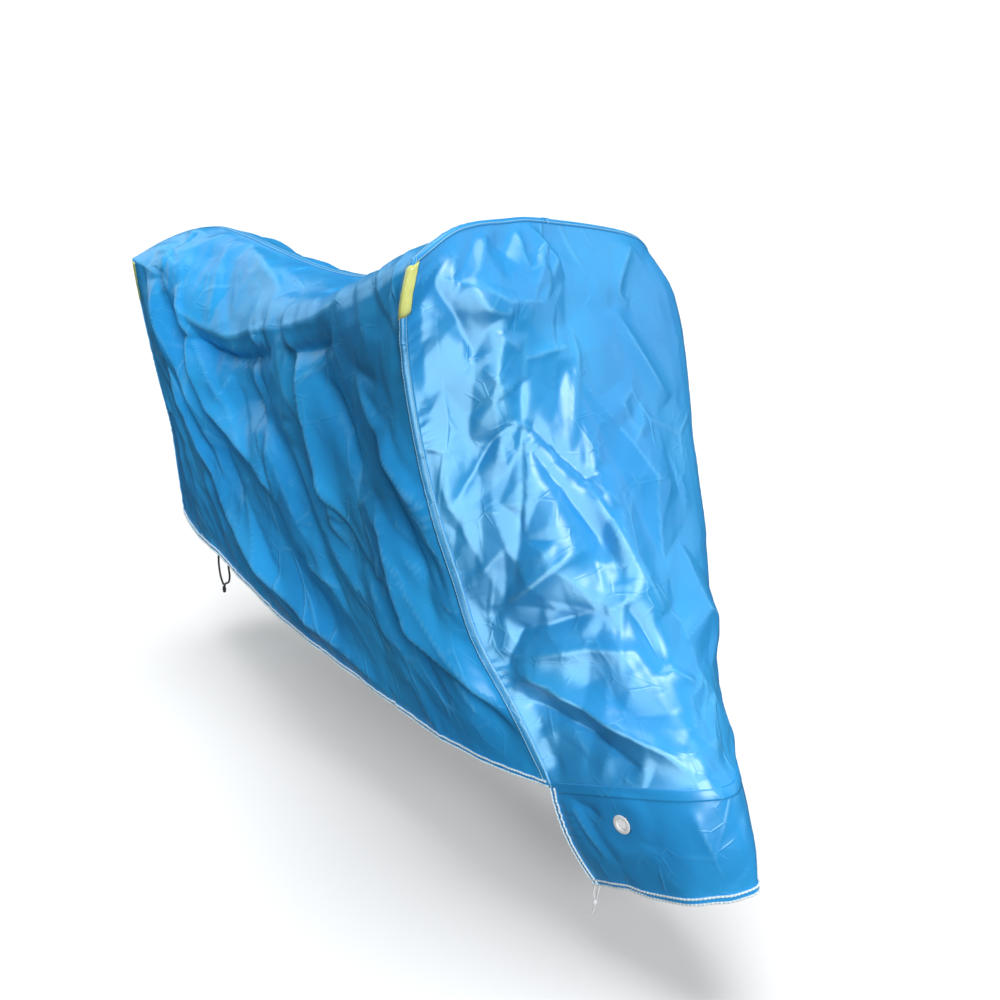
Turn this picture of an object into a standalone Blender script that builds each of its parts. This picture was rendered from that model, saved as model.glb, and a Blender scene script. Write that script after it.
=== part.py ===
"""Bicycle cover: coated cloth panels sewn into a hood, in the shape in which it hangs.

Metres, +Z up, +X to the front, -Y to the near side. Heights in the tables below are above the
ground; every mesh is then moved so that the origin is the point under the cloth's top where the
cover is held up.
"""
from collections import namedtuple
import math

import bmesh
import bpy
from mathutils import Matrix
from mathutils import Vector
from mathutils.bvhtree import BVHTree

# Driving dimensions
CLOTH = 0.0012
FIT = 0.0003
TOP_X, TOP_Z = 0.30, 0.9585
HELD_AT = Vector((TOP_X, 0.0, TOP_Z - CLOTH / 2 - FIT))
SEAM_FADE = 0.045

# Cells of the panels' grids
CROWN_CELLS = 8
DROP_CELLS = 20
NEAR_CELLS = 28
FAR_CELLS = 18
BIB_ROWS = 8
FINE = 8

STRIP_WIDTH = 0.030
STRIP_THICK = 0.0009
STRIP_INSET = 0.12
STRIP_GAP, FAR_FRONT_GAP = 0.0008, 0.0014
STRIP_STEPS = 4
FRONT_STRIP_CELLS = 2
REAR_STRIP_CELLS = 3

EYELET_HOLE = 0.0082
EYELET_RIM = 0.0148
EYELET_FLANGE = 0.0014
EYELET_WALL = 0.0018
EYELET_AT = Vector((1.258, -0.100, 0.276))
EYELET_FLAT, EYELET_BLEND = 0.048, 0.080

# Sections of the sides, from the front ridge to the tail. Each runs from the top of the cover
# over a crown to the shoulder, then down past the belly to the hem. `turn` is how far the far
# side's shoulder lies behind the near side's, because the cover's front is a little turned.
Section = namedtuple("Section", "top_x top_z crown shoulder belly hem turn")
SECTIONS = (
    Section(0.862, 1.062, 0.012, (0.905, -0.272, 1.008), (0.905, -0.224, 0.640), (0.965, -0.158, 0.261), 0.110),
    Section(0.700, 1.016, 0.015, (0.770, -0.250, 0.966), (0.750, -0.212, 0.600), (0.790, -0.165, 0.253), 0.070),
    Section(0.510, 0.974, 0.016, (0.600, -0.222, 0.917), (0.575, -0.198, 0.580), (0.605, -0.168, 0.256), 0.030),
    Section(0.350, 0.957, 0.018, (0.440, -0.195, 0.888), (0.415, -0.188, 0.560), (0.430, -0.168, 0.260), 0.010),
    Section(0.200, 0.963, 0.030, (0.270, -0.172, 0.857), (0.250, -0.180, 0.540), (0.270, -0.168, 0.262), 0.0),
    Section(0.040, 0.981, 0.045, (0.085, -0.162, 0.818), (0.090, -0.173, 0.540), (0.100, -0.167, 0.287), 0.0),
    Section(-0.130, 1.003, 0.040, (-0.090, -0.167, 0.840), (-0.080, -0.169, 0.550), (-0.060, -0.165, 0.306), 0.0),
    Section(-0.280, 1.012, 0.026, (-0.235, -0.174, 0.912), (-0.215, -0.163, 0.570), (-0.195, -0.154, 0.302), 0.0),
)

# Levels of the front panel, from the front ridge down to the bib's seam
Level = namedtuple("Level", "near_seam near_mid near_front centre corner far_seam")
LEVELS = (
    Level((0.995, -0.270, 1.054), (0.972, -0.185, 1.091), (0.950, -0.090, 1.097),
          (0.933, 0.0, 1.093), (0.892, 0.215, 1.058), (0.842, 0.311, 1.001)),
    Level((0.988, -0.284, 0.985), (1.024, -0.175, 1.012), (1.006, -0.085, 1.020),
          (0.985, 0.0, 1.018), (0.920, 0.268, 0.985), (0.852, 0.305, 0.945)),
    Level((0.966, -0.269, 0.905), (1.030, -0.165, 0.932), (1.031, -0.080, 0.940),
          (1.022, 0.0, 0.943), (0.948, 0.272, 0.920), (0.872, 0.288, 0.880)),
    Level((0.953, -0.241, 0.780), (1.058, -0.142, 0.766), (1.088, -0.072, 0.774),
          (1.105, 0.0, 0.780), (1.030, 0.232, 0.765), (0.918, 0.248, 0.760)),
    Level((0.958, -0.216, 0.668), (1.090, -0.130, 0.672), (1.136, -0.068, 0.680),
          (1.155, 0.0, 0.685), (1.085, 0.205, 0.670), (0.945, 0.219, 0.655)),
    Level((0.974, -0.194, 0.575), (1.126, -0.118, 0.578), (1.180, -0.065, 0.586),
          (1.203, 0.0, 0.590), (1.140, 0.172, 0.575), (0.968, 0.194, 0.570)),
    Level((0.997, -0.173, 0.475), (1.165, -0.110, 0.484), (1.226, -0.064, 0.494),
          (1.252, 0.0, 0.500), (1.190, 0.140, 0.485), (0.997, 0.173, 0.475)),
    Level((1.062, -0.152, 0.382), (1.215, -0.109, 0.392), (1.288, -0.066, 0.406),
          (1.315, 0.0, 0.412), (1.240, 0.106, 0.395), (1.062, 0.152, 0.382)),
    Level((1.120, -0.127, 0.272), (1.240, -0.110, 0.320), (1.340, -0.066, 0.348),
          (1.368, 0.0, 0.350), (1.290, 0.075, 0.335), (1.120, 0.127, 0.272)),
)

# Levels of the rear panel, from the tail's top edge to the hem: a seam point and the middle
Tail = namedtuple("Tail", "seam middle")
TAIL = (
    Tail((-0.400, -0.175, 0.940), (-0.400, 0.0, 1.002)),
    Tail((-0.397, -0.170, 0.870), (-0.428, 0.0, 0.905)),
    Tail((-0.380, -0.165, 0.780), (-0.420, 0.0, 0.800)),
    Tail((-0.358, -0.155, 0.660), (-0.400, 0.0, 0.665)),
    Tail((-0.335, -0.143, 0.545), (-0.378, 0.0, 0.545)),
    Tail((-0.327, -0.139, 0.430), (-0.360, 0.0, 0.425)),
    Tail((-0.320, -0.135, 0.322), (-0.350, 0.0, 0.312)),
)

# The bib's hem, from its near rear corner round the front to the far one
BIB_HEM = (
    (1.190, -0.094, 0.126), (1.252, -0.088, 0.153), (1.316, -0.080, 0.171), (1.377, -0.066, 0.192),
    (1.414, 0.0, 0.203),
    (1.388, 0.028, 0.197), (1.342, 0.055, 0.182), (1.280, 0.075, 0.163), (1.190, 0.094, 0.126),
)
BIB_BULGE = 0.010

# Folds, in the cloth's own measures: metres from the panel's front or near seam, then metres
# down from its top. A height below zero is a trough.
Fold = namedtuple("Fold", "height width path")
NEAR_FOLDS = (
    Fold(0.014, 0.045, ((1.262, 0.276), (1.188, 0.449), (1.071, 0.618), (0.957, 0.711))),
    Fold(-0.016, 0.040, ((1.206, 0.274), (1.118, 0.381), (1.016, 0.464), (0.966, 0.577), (0.869, 0.681))),
    Fold(0.018, 0.042, ((1.149, 0.226), (1.076, 0.294), (1.008, 0.433), (0.873, 0.501), (0.728, 0.582),
                        (0.646, 0.630))),
    Fold(0.013, 0.048, ((1.030, 0.687), (0.908, 0.749), (0.773, 0.818), (0.653, 0.871), (0.499, 0.895),
                        (0.372, 0.918))),
    Fold(0.016, 0.038, ((0.587, 0.249), (0.468, 0.327), (0.433, 0.397), (0.395, 0.486), (0.365, 0.578),
                        (0.341, 0.664))),
    Fold(-0.016, 0.038, ((0.408, 0.336), (0.319, 0.412), (0.259, 0.493), (0.228, 0.561))),
    Fold(-0.014, 0.040, ((0.900, 0.300), (0.780, 0.420), (0.640, 0.520), (0.540, 0.640))),
    Fold(0.010, 0.040, ((1.020, 0.040), (0.924, 0.064), (0.697, 0.170))),
)
FAR_FOLDS = (
    Fold(0.014, 0.055, ((1.240, 0.280), (1.160, 0.500), (0.980, 0.700))),
    Fold(-0.015, 0.050, ((1.150, 0.280), (1.000, 0.480), (0.860, 0.680))),
    Fold(0.014, 0.055, ((1.030, 0.300), (0.860, 0.520), (0.700, 0.720))),
    Fold(0.012, 0.050, ((0.600, 0.250), (0.450, 0.420), (0.360, 0.660))),
    Fold(-0.012, 0.050, ((0.420, 0.330), (0.280, 0.500), (0.230, 0.660))),
)
FRONT_FOLDS = (
    Fold(-0.010, 0.030, ((0.085, 0.100), (0.095, 0.150), (0.104, 0.195))),
    Fold(-0.012, 0.026, ((0.130, 0.305), (0.080, 0.350), (0.035, 0.392))),
    Fold(-0.014, 0.030, ((0.164, 0.339), (0.207, 0.430), (0.240, 0.510), (0.251, 0.563))),
    Fold(0.013, 0.034, ((0.235, 0.403), (0.272, 0.534), (0.298, 0.616))),
    Fold(-0.013, 0.030, ((0.244, 0.592), (0.263, 0.644), (0.273, 0.697))),
    Fold(0.012, 0.036, ((0.030, 0.562), (0.090, 0.564), (0.214, 0.500))),
    Fold(-0.012, 0.034, ((0.060, 0.620), (0.140, 0.615), (0.220, 0.600))),
    Fold(0.018, 0.036, ((0.045, 0.677), (0.150, 0.763), (0.225, 0.816), (0.246, 0.862))),
    Fold(-0.018, 0.036, ((0.014, 0.727), (0.131, 0.808), (0.182, 0.845))),
    Fold(0.010, 0.040, ((0.364, 0.150), (0.400, 0.240), (0.437, 0.307))),
)
NEAR_LENGTH, CROWN_DROP, SIDE_DROP = 1.40, 0.26, 0.68
FRONT_WIDTH, FRONT_DROP = 0.60, 0.88

# Cords, as points above the ground, after the place where each leaves its hem: the tie at the
# bib's corner and the loop at the rear hem
Cord = namedtuple("Cord", "hem_x radius route")
TIE_A = Cord(1.1916, 0.0014, ((1.1905, -0.0955, 0.1130), (1.1932, -0.0960, 0.1034)))
TIE_B = Cord(1.2010, 0.0014, ((1.2000, -0.0955, 0.1150), (1.1964, -0.0960, 0.1034)))
TIE_TAIL = Cord(None, 0.0014, ((1.1946, -0.0960, 0.0939), (1.1930, -0.0970, 0.0830), (1.1890, -0.0985, 0.0730)))
TIE_KNOT, TIE_KNOT_RADIUS = (1.1948, -0.0960, 0.0988), 0.0040
LOOP_A = Cord(-0.0400, 0.0023, ((-0.0400, -0.1660, 0.2920), (-0.0400, -0.1665, 0.2780), (-0.0340, -0.1670, 0.2520),
                                (-0.0212, -0.1670, 0.2346)))
LOOP_B = Cord(0.0180, 0.0023, ((0.0184, -0.1672, 0.2900), (0.0255, -0.1690, 0.2720), (0.0170, -0.1690, 0.2540),
                               (-0.0070, -0.1672, 0.2420), (-0.0148, -0.1670, 0.2346)))
LOOP_CRIMP = Cord(None, 0.0045, ((-0.0180, -0.1670, 0.2330), (-0.0180, -0.1670, 0.2165)))


def clear_scene():
    for old in list(bpy.data.objects):
        bpy.data.objects.remove(old, do_unlink=True)


def finish(name, colour, roughness, metallic=0.0):
    material = bpy.data.materials.new(name)
    material.use_nodes = True
    shader = material.node_tree.nodes["Principled BSDF"]
    shader.inputs["Base Color"].default_value = (*colour, 1.0)
    shader.inputs["Roughness"].default_value = roughness
    shader.inputs["Metallic"].default_value = metallic
    return material


# Curves through points

def smooth_point(points, t):
    """The point at t, counted in points, on the smooth curve through them."""
    last = len(points) - 1
    i = min(int(t), last - 1)
    f = t - i
    p1, p2 = points[i], points[i + 1]
    p0 = points[i - 1] if i > 0 else 2 * p1 - p2
    p3 = points[i + 2] if i + 2 <= last else 2 * p2 - p1
    bend = (2 * p0 - 5 * p1 + 4 * p2 - p3) * f * f + (3 * p1 - p0 - 3 * p2 + p3) * f ** 3
    return 0.5 * (2 * p1 + (p2 - p0) * f + bend)


def evenly(points, cells, start=0, stop=None):
    """Evenly spaced points on the smooth curve, between two of its own points."""
    stop = len(points) - 1 if stop is None else stop
    dense = [smooth_point(points, start + k / FINE) for k in range((stop - start) * FINE + 1)]
    reach = [0.0]
    for a, b in zip(dense, dense[1:]):
        reach.append(reach[-1] + (b - a).length)
    row, k = [], 0
    for step in range(cells + 1):
        want = reach[-1] * step / cells
        while k < len(dense) - 2 and reach[k + 1] < want:
            k += 1
        row.append(dense[k].lerp(dense[k + 1], (want - reach[k]) / (reach[k + 1] - reach[k])))
    return row


def flip(point):
    return Vector((point[0], -point[1], point[2]))


def vectors(points):
    return [Vector(point) for point in points]


# The panels' grids, each a list of rows of points

def front_grid():
    """Rows from the ridge to the bib's seam, each from the near seam to the far one."""
    columns = [evenly(vectors(column), DROP_CELLS) for column in zip(*LEVELS)]
    centre = Level._fields.index("centre")
    grid = []
    for row in zip(*columns):
        near = evenly(row, CROWN_CELLS, 0, centre)
        far = evenly(row, CROWN_CELLS, centre)
        grid.append(near + far[1:])
    return grid


def rear_grid():
    """Rows from the tail's top edge to the hem, each from the near seam to the far one."""
    seam = evenly([Vector(level.seam) for level in TAIL], DROP_CELLS)
    middle = evenly([Vector(level.middle) for level in TAIL], DROP_CELLS)
    grid = []
    for edge, mid in zip(seam, middle):
        quarter = edge.lerp(mid, 0.55) + Vector((-0.012, 0.0, 0.012 * (edge.z - 0.322)))
        row = [edge, quarter, mid, flip(quarter), flip(edge)]
        near = evenly(row, CROWN_CELLS, 0, 2)
        far = evenly(row, CROWN_CELLS, 2)
        grid.append(near + far[1:])
    return grid


def side_section(section):
    """One section of the near side, from the top's centre down to the hem."""
    top = Vector((section.top_x, 0.0, section.top_z))
    shoulder = Vector(section.shoulder)
    crown = top.lerp(shoulder, 0.5) + Vector((0.0, 0.0, section.crown))
    line = [top, crown, shoulder, Vector(section.belly), Vector(section.hem)]
    upper = evenly(line, CROWN_CELLS, 0, 2)
    lower = evenly(line, DROP_CELLS, 2)
    return upper + lower[1:]


def far_section(section):
    """The same section on the far side, its shoulder set back by the section's turn."""
    line = [flip(point) for point in side_section(section)]
    for i, point in enumerate(line):
        share = i / CROWN_CELLS if i < CROWN_CELLS else (len(line) - 1 - i) / DROP_CELLS
        point.x -= section.turn * share
    return line


def side_grid(front, rear, cells, near):
    """Rows from the top's centre to the hem, each from the front seam to the rear one."""
    if near:
        ridge = front[0][CROWN_CELLS::-1]
        seam = [row[0] for row in front]
        tail_top = rear[0][CROWN_CELLS::-1]
        tail = [row[0] for row in rear]
        middle = [side_section(section) for section in SECTIONS]
    else:
        ridge = front[0][CROWN_CELLS:]
        seam = [row[-1] for row in front]
        tail_top = rear[0][CROWN_CELLS:]
        tail = [row[-1] for row in rear]
        middle = [far_section(section) for section in SECTIONS]
    sections = [ridge + seam[1:]] + middle + [tail_top + tail[1:]]
    return [evenly(list(row), cells) for row in zip(*sections)]


def bib_grid(front):
    """Rows from the bib's seam to its hem; each cell of the front panel is halved."""
    top = []
    for a, b in zip(front[-1], front[-1][1:]):
        top += [a, a.lerp(b, 0.5)]
    top.append(front[-1][-1])
    hem_line = vectors(BIB_HEM)
    centre = len(hem_line) // 2
    hem = evenly(hem_line, 2 * CROWN_CELLS, 0, centre) + evenly(hem_line, 2 * CROWN_CELLS, centre)[1:]
    middle = Vector((1.20, 0.0, 0.0))
    grid = []
    for k in range(BIB_ROWS + 1):
        t = k / BIB_ROWS
        row = []
        for a, b in zip(top, hem):
            out = (a - middle) * Vector((1.0, 1.0, 0.0))
            row.append(a.lerp(b, t) + out.normalized() * BIB_BULGE * math.sin(math.pi * t))
        grid.append(row)
    return grid


# Folds

def normals(grid):
    """The outward normal at each point of a grid."""
    rows, columns = len(grid), len(grid[0])
    field = []
    for j in range(rows):
        line = []
        for i in range(columns):
            along = grid[j][min(i + 1, columns - 1)] - grid[j][max(i - 1, 0)]
            down = grid[min(j + 1, rows - 1)][i] - grid[max(j - 1, 0)][i]
            line.append(along.cross(down).normalized())
        field.append(line)
    return field


def path_distance(path, a, d):
    """Distance from a point to a fold's path, and how far along the path it lies."""
    best, where, done = 1.0, 0.0, 0.0
    total = sum(math.dist(p, q) for p, q in zip(path, path[1:]))
    for p, q in zip(path, path[1:]):
        run = math.dist(p, q)
        t = ((a - p[0]) * (q[0] - p[0]) + (d - p[1]) * (q[1] - p[1])) / run ** 2
        t = min(max(t, 0.0), 1.0)
        off = math.dist((a, d), (p[0] + t * (q[0] - p[0]), p[1] + t * (q[1] - p[1])))
        if off < best:
            best, where = off, (done + t * run) / total
        done += run
    return best, where


def fold_height(folds, a, d):
    """The cloth's height over its base at one place, from all the folds there."""
    height = 0.0
    for fold in folds:
        off, where = path_distance(fold.path, a, d)
        taper = min(1.0, 4.0 * min(where, 1.0 - where) + 0.25)
        height += fold.height * taper * math.exp(-(off / fold.width) ** 2)
    return height


def push_folds(grid, outward, folds, measure, fade):
    """Move the grid's points along their normals; `fade` keeps the seams in place."""
    rows, columns = len(grid) - 1, len(grid[0]) - 1
    for j, (line, field) in enumerate(zip(grid, normals(grid))):
        for i, (point, normal) in enumerate(zip(line, field)):
            a, d = measure(i / columns, j)
            lift = fold_height(folds, a, d) * fade(a, d)
            line[i] = point + normal * outward * lift


def soft_step(distance):
    t = min(max(distance / SEAM_FADE, 0.0), 1.0)
    return t * t * (3 - 2 * t)


def side_measure(u, j):
    """The place of a side's grid point on its cloth: from the front seam, and down."""
    if j <= CROWN_CELLS:
        return u * NEAR_LENGTH, CROWN_DROP * j / CROWN_CELLS
    return u * NEAR_LENGTH, CROWN_DROP + SIDE_DROP * (j - CROWN_CELLS) / DROP_CELLS


def side_fade(a, d):
    return soft_step(a) * soft_step(NEAR_LENGTH - a) * soft_step(d)


def front_measure(u, j):
    return u * FRONT_WIDTH, FRONT_DROP * j / DROP_CELLS


def front_fade(a, d):
    edge = min(soft_step(a), soft_step(FRONT_WIDTH - a))
    return edge * soft_step(d) * soft_step(FRONT_DROP - d)


# Edges: where two panels meet, one of them stops short by half the cloth and the fit

SHORT = CLOTH / 2 + FIT


def stop_short(grid, top=False, left=False, right=False):
    if top:
        grid[0] = [a + (b - a).normalized() * SHORT for a, b in zip(grid[0], grid[1])]
    for row in grid:
        if left:
            row[0] = row[0] + (row[1] - row[0]).normalized() * SHORT
        if right:
            row[-1] = row[-1] + (row[-2] - row[-1]).normalized() * SHORT


def flatten_round(grid, at, outward):
    """Press the cloth flat where a stiff eyelet is clamped on it."""
    for row in grid[1:]:
        for i, point in enumerate(row):
            gone = (point - at).dot(outward)
            if abs(gone) > EYELET_BLEND:
                continue
            reach = (point - at - outward * gone).length
            t = min(max((reach - EYELET_FLAT) / (EYELET_BLEND - EYELET_FLAT), 0.0), 1.0)
            row[i] = point - outward * gone * (1 - t * t * (3 - 2 * t))


# Meshes

def sheet(name, grid, material, turned=False):
    """A thin closed solid on a grid of points, and a search tree of its middle surface."""
    rows, columns = len(grid), len(grid[0])
    mesh = bpy.data.meshes.new(name)
    work = bmesh.new()
    bmesh.ops.create_grid(work, x_segments=columns - 1, y_segments=rows - 1, size=1.0)
    for vertex in work.verts:
        i = round((vertex.co.x + 1) / 2 * (columns - 1))
        j = round((vertex.co.y + 1) / 2 * (rows - 1))
        vertex.co = grid[j][i] - HELD_AT
    if turned:
        bmesh.ops.reverse_faces(work, faces=work.faces)
    bmesh.ops.triangulate(work, faces=work.faces, quad_method="SHORT_EDGE")
    tree = BVHTree.FromBMesh(work)
    work.to_mesh(mesh)
    work.free()
    mesh.shade_smooth()
    mesh.materials.append(material)
    body = bpy.data.objects.new(name, mesh)
    bpy.context.collection.objects.link(body)
    thicken = body.modifiers.new("thickness", "SOLIDIFY")
    thicken.thickness = CLOTH
    thicken.offset = 0.0
    return body, tree


def between(line, at):
    """The point at a fractional place in a list of points."""
    i = min(int(at), len(line) - 2)
    return line[i].lerp(line[i + 1], at - i)


def strip(name, lines, panels, cells, gap, material):
    """A tape folded over a seam. `lines` are the seam and the points next to it in each panel."""
    seam, *inners = lines
    lift = CLOTH / 2 + gap + STRIP_THICK / 2
    steps = STRIP_STEPS * cells
    rows = []
    for step in range(steps + 1):
        at = STRIP_INSET + cells * step / steps
        spot = between(seam, at)
        outward = spot - Vector((spot.x * 0.8, 0.0, spot.z - 0.05))
        halves, outs = [], []
        for inner, panel in zip(inners, panels):
            away = (between(inner, at) - spot).normalized()
            half = []
            for reach in (0.5, 1.0):
                there = spot + away * STRIP_WIDTH / 2 * reach - HELD_AT
                on_cloth, out = panel.find_nearest(there)[:2]
                out = out if out.dot(outward) > 0 else -out
                half.append(on_cloth + out * lift + HELD_AT)
            halves.append(half)
            outs.append(out)
        bisector = (outs[0] + outs[1]).normalized()
        corner = spot + bisector * lift / max(bisector.dot(outs[0]), 0.5)
        rows.append(halves[0][::-1] + [corner] + halves[1])
    body = sheet(name, rows, material)[0]
    body.modifiers["thickness"].thickness = STRIP_THICK
    return body


def seam_lines(side, panel, near, rear):
    """The seam of a side and a panel from the shoulder down, and the points next to it."""
    edge, inner = (-1, -2) if rear else (0, 1)
    panel_edge, panel_inner = (0, 1) if near else (-1, -2)
    seam = [row[panel_edge] for row in panel]
    return seam, [row[inner] for row in side[CROWN_CELLS:]], [row[panel_inner] for row in panel]


def turned_ring(name, profile, material, place):
    """A profile of (radius, height) turned about Z, then placed."""
    mesh = bpy.data.meshes.new(name)
    work = bmesh.new()
    ring = [work.verts.new((radius, 0.0, height)) for radius, height in profile]
    edges = [work.edges.new((a, b)) for a, b in zip(ring, ring[1:] + ring[:1])]
    bmesh.ops.spin(work, geom=ring + edges, cent=(0, 0, 0), axis=(0, 0, 1),
                   angle=math.tau, steps=28, use_merge=True)
    bmesh.ops.recalc_face_normals(work, faces=work.faces)
    work.to_mesh(mesh)
    work.free()
    mesh.shade_smooth()
    mesh.set_sharp_from_angle(angle=math.radians(35))
    mesh.materials.append(material)
    body = bpy.data.objects.new(name, mesh)
    body.matrix_world = place
    bpy.context.collection.objects.link(body)
    return body


def eyelet(name, place, material):
    """Two flanges on the cloth's faces and the barrel between them."""
    inner = CLOTH / 2 + FIT
    outer = inner + EYELET_FLANGE
    barrel = EYELET_HOLE + EYELET_WALL
    profile = ((EYELET_HOLE, -outer), (EYELET_RIM - 0.003, -outer), (EYELET_RIM - 0.003, -inner),
               (barrel, -inner), (barrel, inner), (EYELET_RIM, inner), (EYELET_RIM, outer - 0.0005),
               (EYELET_RIM - 0.0015, outer), (EYELET_HOLE + 0.001, outer), (EYELET_HOLE, outer - 0.001))
    return turned_ring(name, profile, material, place)


def cut_hole(body, place, name):
    """Cut the eyelet's hole through the cloth with a round cutter."""
    mesh = bpy.data.meshes.new(name)
    work = bmesh.new()
    radius = EYELET_HOLE + EYELET_WALL + FIT
    bmesh.ops.create_cone(work, cap_ends=True, segments=24, radius1=radius, radius2=radius, depth=0.02)
    work.to_mesh(mesh)
    work.free()
    cutter = bpy.data.objects.new(name, mesh)
    cutter.matrix_world = place
    cutter.hide_render = True
    cutter.display_type = "WIRE"
    bpy.context.collection.objects.link(cutter)
    cut = body.modifiers.new(name, "BOOLEAN")
    cut.operation = "DIFFERENCE"
    cut.object = cutter


def below_hem(hem, x, radius):
    """The place just under a hem where a cord of this radius leaves it."""
    heights, spot = [], None
    for a, b in zip(hem, hem[1:]):
        for side in (-radius, 0.0, radius):
            t = (x + side - a.x) / (b.x - a.x)
            if 0.0 <= t <= 1.0:
                heights.append(a.lerp(b, t).z)
                spot = a.lerp(b, t) if side == 0.0 else spot
    return Vector((spot.x, spot.y, min(heights) - FIT))


def cord(name, plan, cells, material, hem=None):
    curve = bpy.data.curves.new(name, "CURVE")
    curve.dimensions = "3D"
    curve.bevel_depth = plan.radius
    curve.bevel_resolution = 2
    curve.use_fill_caps = True
    start = [below_hem(hem, plan.hem_x, plan.radius)] if hem else []
    route = evenly(start + vectors(plan.route), cells)
    line = curve.splines.new("POLY")
    line.points.add(len(route) - 1)
    for spot, point in zip(line.points, route):
        spot.co = (*(point - HELD_AT), 1.0)
    curve.materials.append(material)
    body = bpy.data.objects.new(name, curve)
    bpy.context.collection.objects.link(body)
    return body


def knot(name, at, radius, material):
    mesh = bpy.data.meshes.new(name)
    work = bmesh.new()
    bmesh.ops.create_icosphere(work, subdivisions=2, radius=radius)
    bmesh.ops.scale(work, vec=(1.0, 0.9, 1.15), verts=work.verts)
    work.to_mesh(mesh)
    work.free()
    mesh.shade_smooth()
    mesh.materials.append(material)
    body = bpy.data.objects.new(name, mesh)
    body.location = Vector(at) - HELD_AT
    bpy.context.collection.objects.link(body)
    return body


def eyelet_place(at, grid):
    """The eyelet's place on the bib: Z along the cloth's outward normal."""
    spot, outward = None, None
    for line, field in zip(grid, normals(grid)):
        for point, normal in zip(line, field):
            if spot is None or (point - at).length < (spot - at).length:
                spot, outward = point, normal
    if outward.y * at.y < 0:
        outward = -outward
    on_cloth = at - outward * (at - spot).dot(outward)
    return on_cloth, outward


def placed(on_cloth, outward):
    turn = outward.to_track_quat("Z", "Y")
    return Matrix.Translation(on_cloth - HELD_AT) @ turn.to_matrix().to_4x4()


def build():
    clear_scene()
    coat = finish("coated_cloth", (0.045, 0.26, 0.66), 0.32)
    side_coat = finish("coated_cloth_side", (0.035, 0.22, 0.58), 0.32)
    glow = finish("reflective_tape", (0.62, 0.72, 0.10), 0.40)
    plastic = finish("eyelet_plastic", (0.85, 0.86, 0.86), 0.35)
    white_cord = finish("white_cord", (0.85, 0.87, 0.88), 0.75)
    black_cord = finish("black_cord", (0.015, 0.015, 0.017), 0.70)

    front = front_grid()
    rear = rear_grid()
    bib = bib_grid(front)
    near = side_grid(front, rear, NEAR_CELLS, True)
    far = side_grid(front, rear, FAR_CELLS, False)

    push_folds(near, 1.0, NEAR_FOLDS, side_measure, side_fade)
    push_folds(far, -1.0, FAR_FOLDS, side_measure, side_fade)
    push_folds(front, -1.0, FRONT_FOLDS, front_measure, front_fade)

    spot, outward = eyelet_place(EYELET_AT, bib)
    far_spot, far_outward = flip(spot), flip(outward)
    flatten_round(bib, spot, outward)
    flatten_round(bib, far_spot, far_outward)

    seams = {
        "strip_front_near": (seam_lines(near, front, True, False), ("side_near", "front_panel")),
        "strip_front_far": (seam_lines(far, front, False, False), ("side_far", "front_panel")),
        "strip_rear_near": (seam_lines(near, rear, True, True), ("side_near", "rear_panel")),
        "strip_rear_far": (seam_lines(far, rear, False, True), ("side_far", "rear_panel")),
    }

    stop_short(near, left=True, right=True)
    stop_short(far, top=True, left=True, right=True)
    stop_short(bib, top=True)

    trees = {}
    for name, grid, material, turned in (
        ("side_near", near, side_coat, True),
        ("side_far", far, side_coat, False),
        ("front_panel", front, coat, False),
        ("rear_panel", rear, side_coat, True),
        ("front_bib", bib, coat, False),
    ):
        body, trees[name] = sheet(name, grid, material, turned)
    bib_body = body
    for name, (lines, panels) in seams.items():
        cells = REAR_STRIP_CELLS if "rear" in name else FRONT_STRIP_CELLS
        gap = FAR_FRONT_GAP if name == "strip_front_far" else STRIP_GAP
        strip(name, lines, [trees[panel] for panel in panels], cells, gap, glow)

    for name, place in (("eyelet_near", placed(spot, outward)),
                        ("eyelet_far", placed(far_spot, far_outward))):
        cut_hole(bib_body, place, name + "_hole")
        eyelet(name, place, plastic)

    bib_hem = bib[-1][:CROWN_CELLS]
    cord("tie_strand_a", TIE_A, 6, white_cord, bib_hem)
    cord("tie_strand_b", TIE_B, 6, white_cord, bib_hem)
    cord("tie_tail", TIE_TAIL, 6, white_cord)
    knot("tie_knot", TIE_KNOT, TIE_KNOT_RADIUS, white_cord)
    cord("loop_leg_a", LOOP_A, 8, black_cord, near[-1])
    cord("loop_leg_b", LOOP_B, 9, black_cord, near[-1])
    cord("loop_crimp", LOOP_CRIMP, 3, black_cord)


build()
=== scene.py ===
# %% [markdown]
# # A bicycle cover, as it hangs
#
# The real cover is a hood of thin coated cloth: two side panels, a front panel with a bib sewn
# under it, a narrow rear panel, reflective tapes over the upper seams, a stiff eyelet on each
# side of the bib, a tie at the bib's corner and a loop of cord at the rear hem. The solids of
# the frame give its outline. This lesson dresses them in finer cloth, with the folds placed one
# by one, sewn seams, hems and stitches.

# %% Load the frame
import math
import random
from collections import namedtuple

import bmesh
import bpy
import numpy as np
from mathutils import Matrix, Vector, noise
from mathutils.bvhtree import BVHTree
from mathutils.geometry import delaunay_2d_cdt


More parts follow.
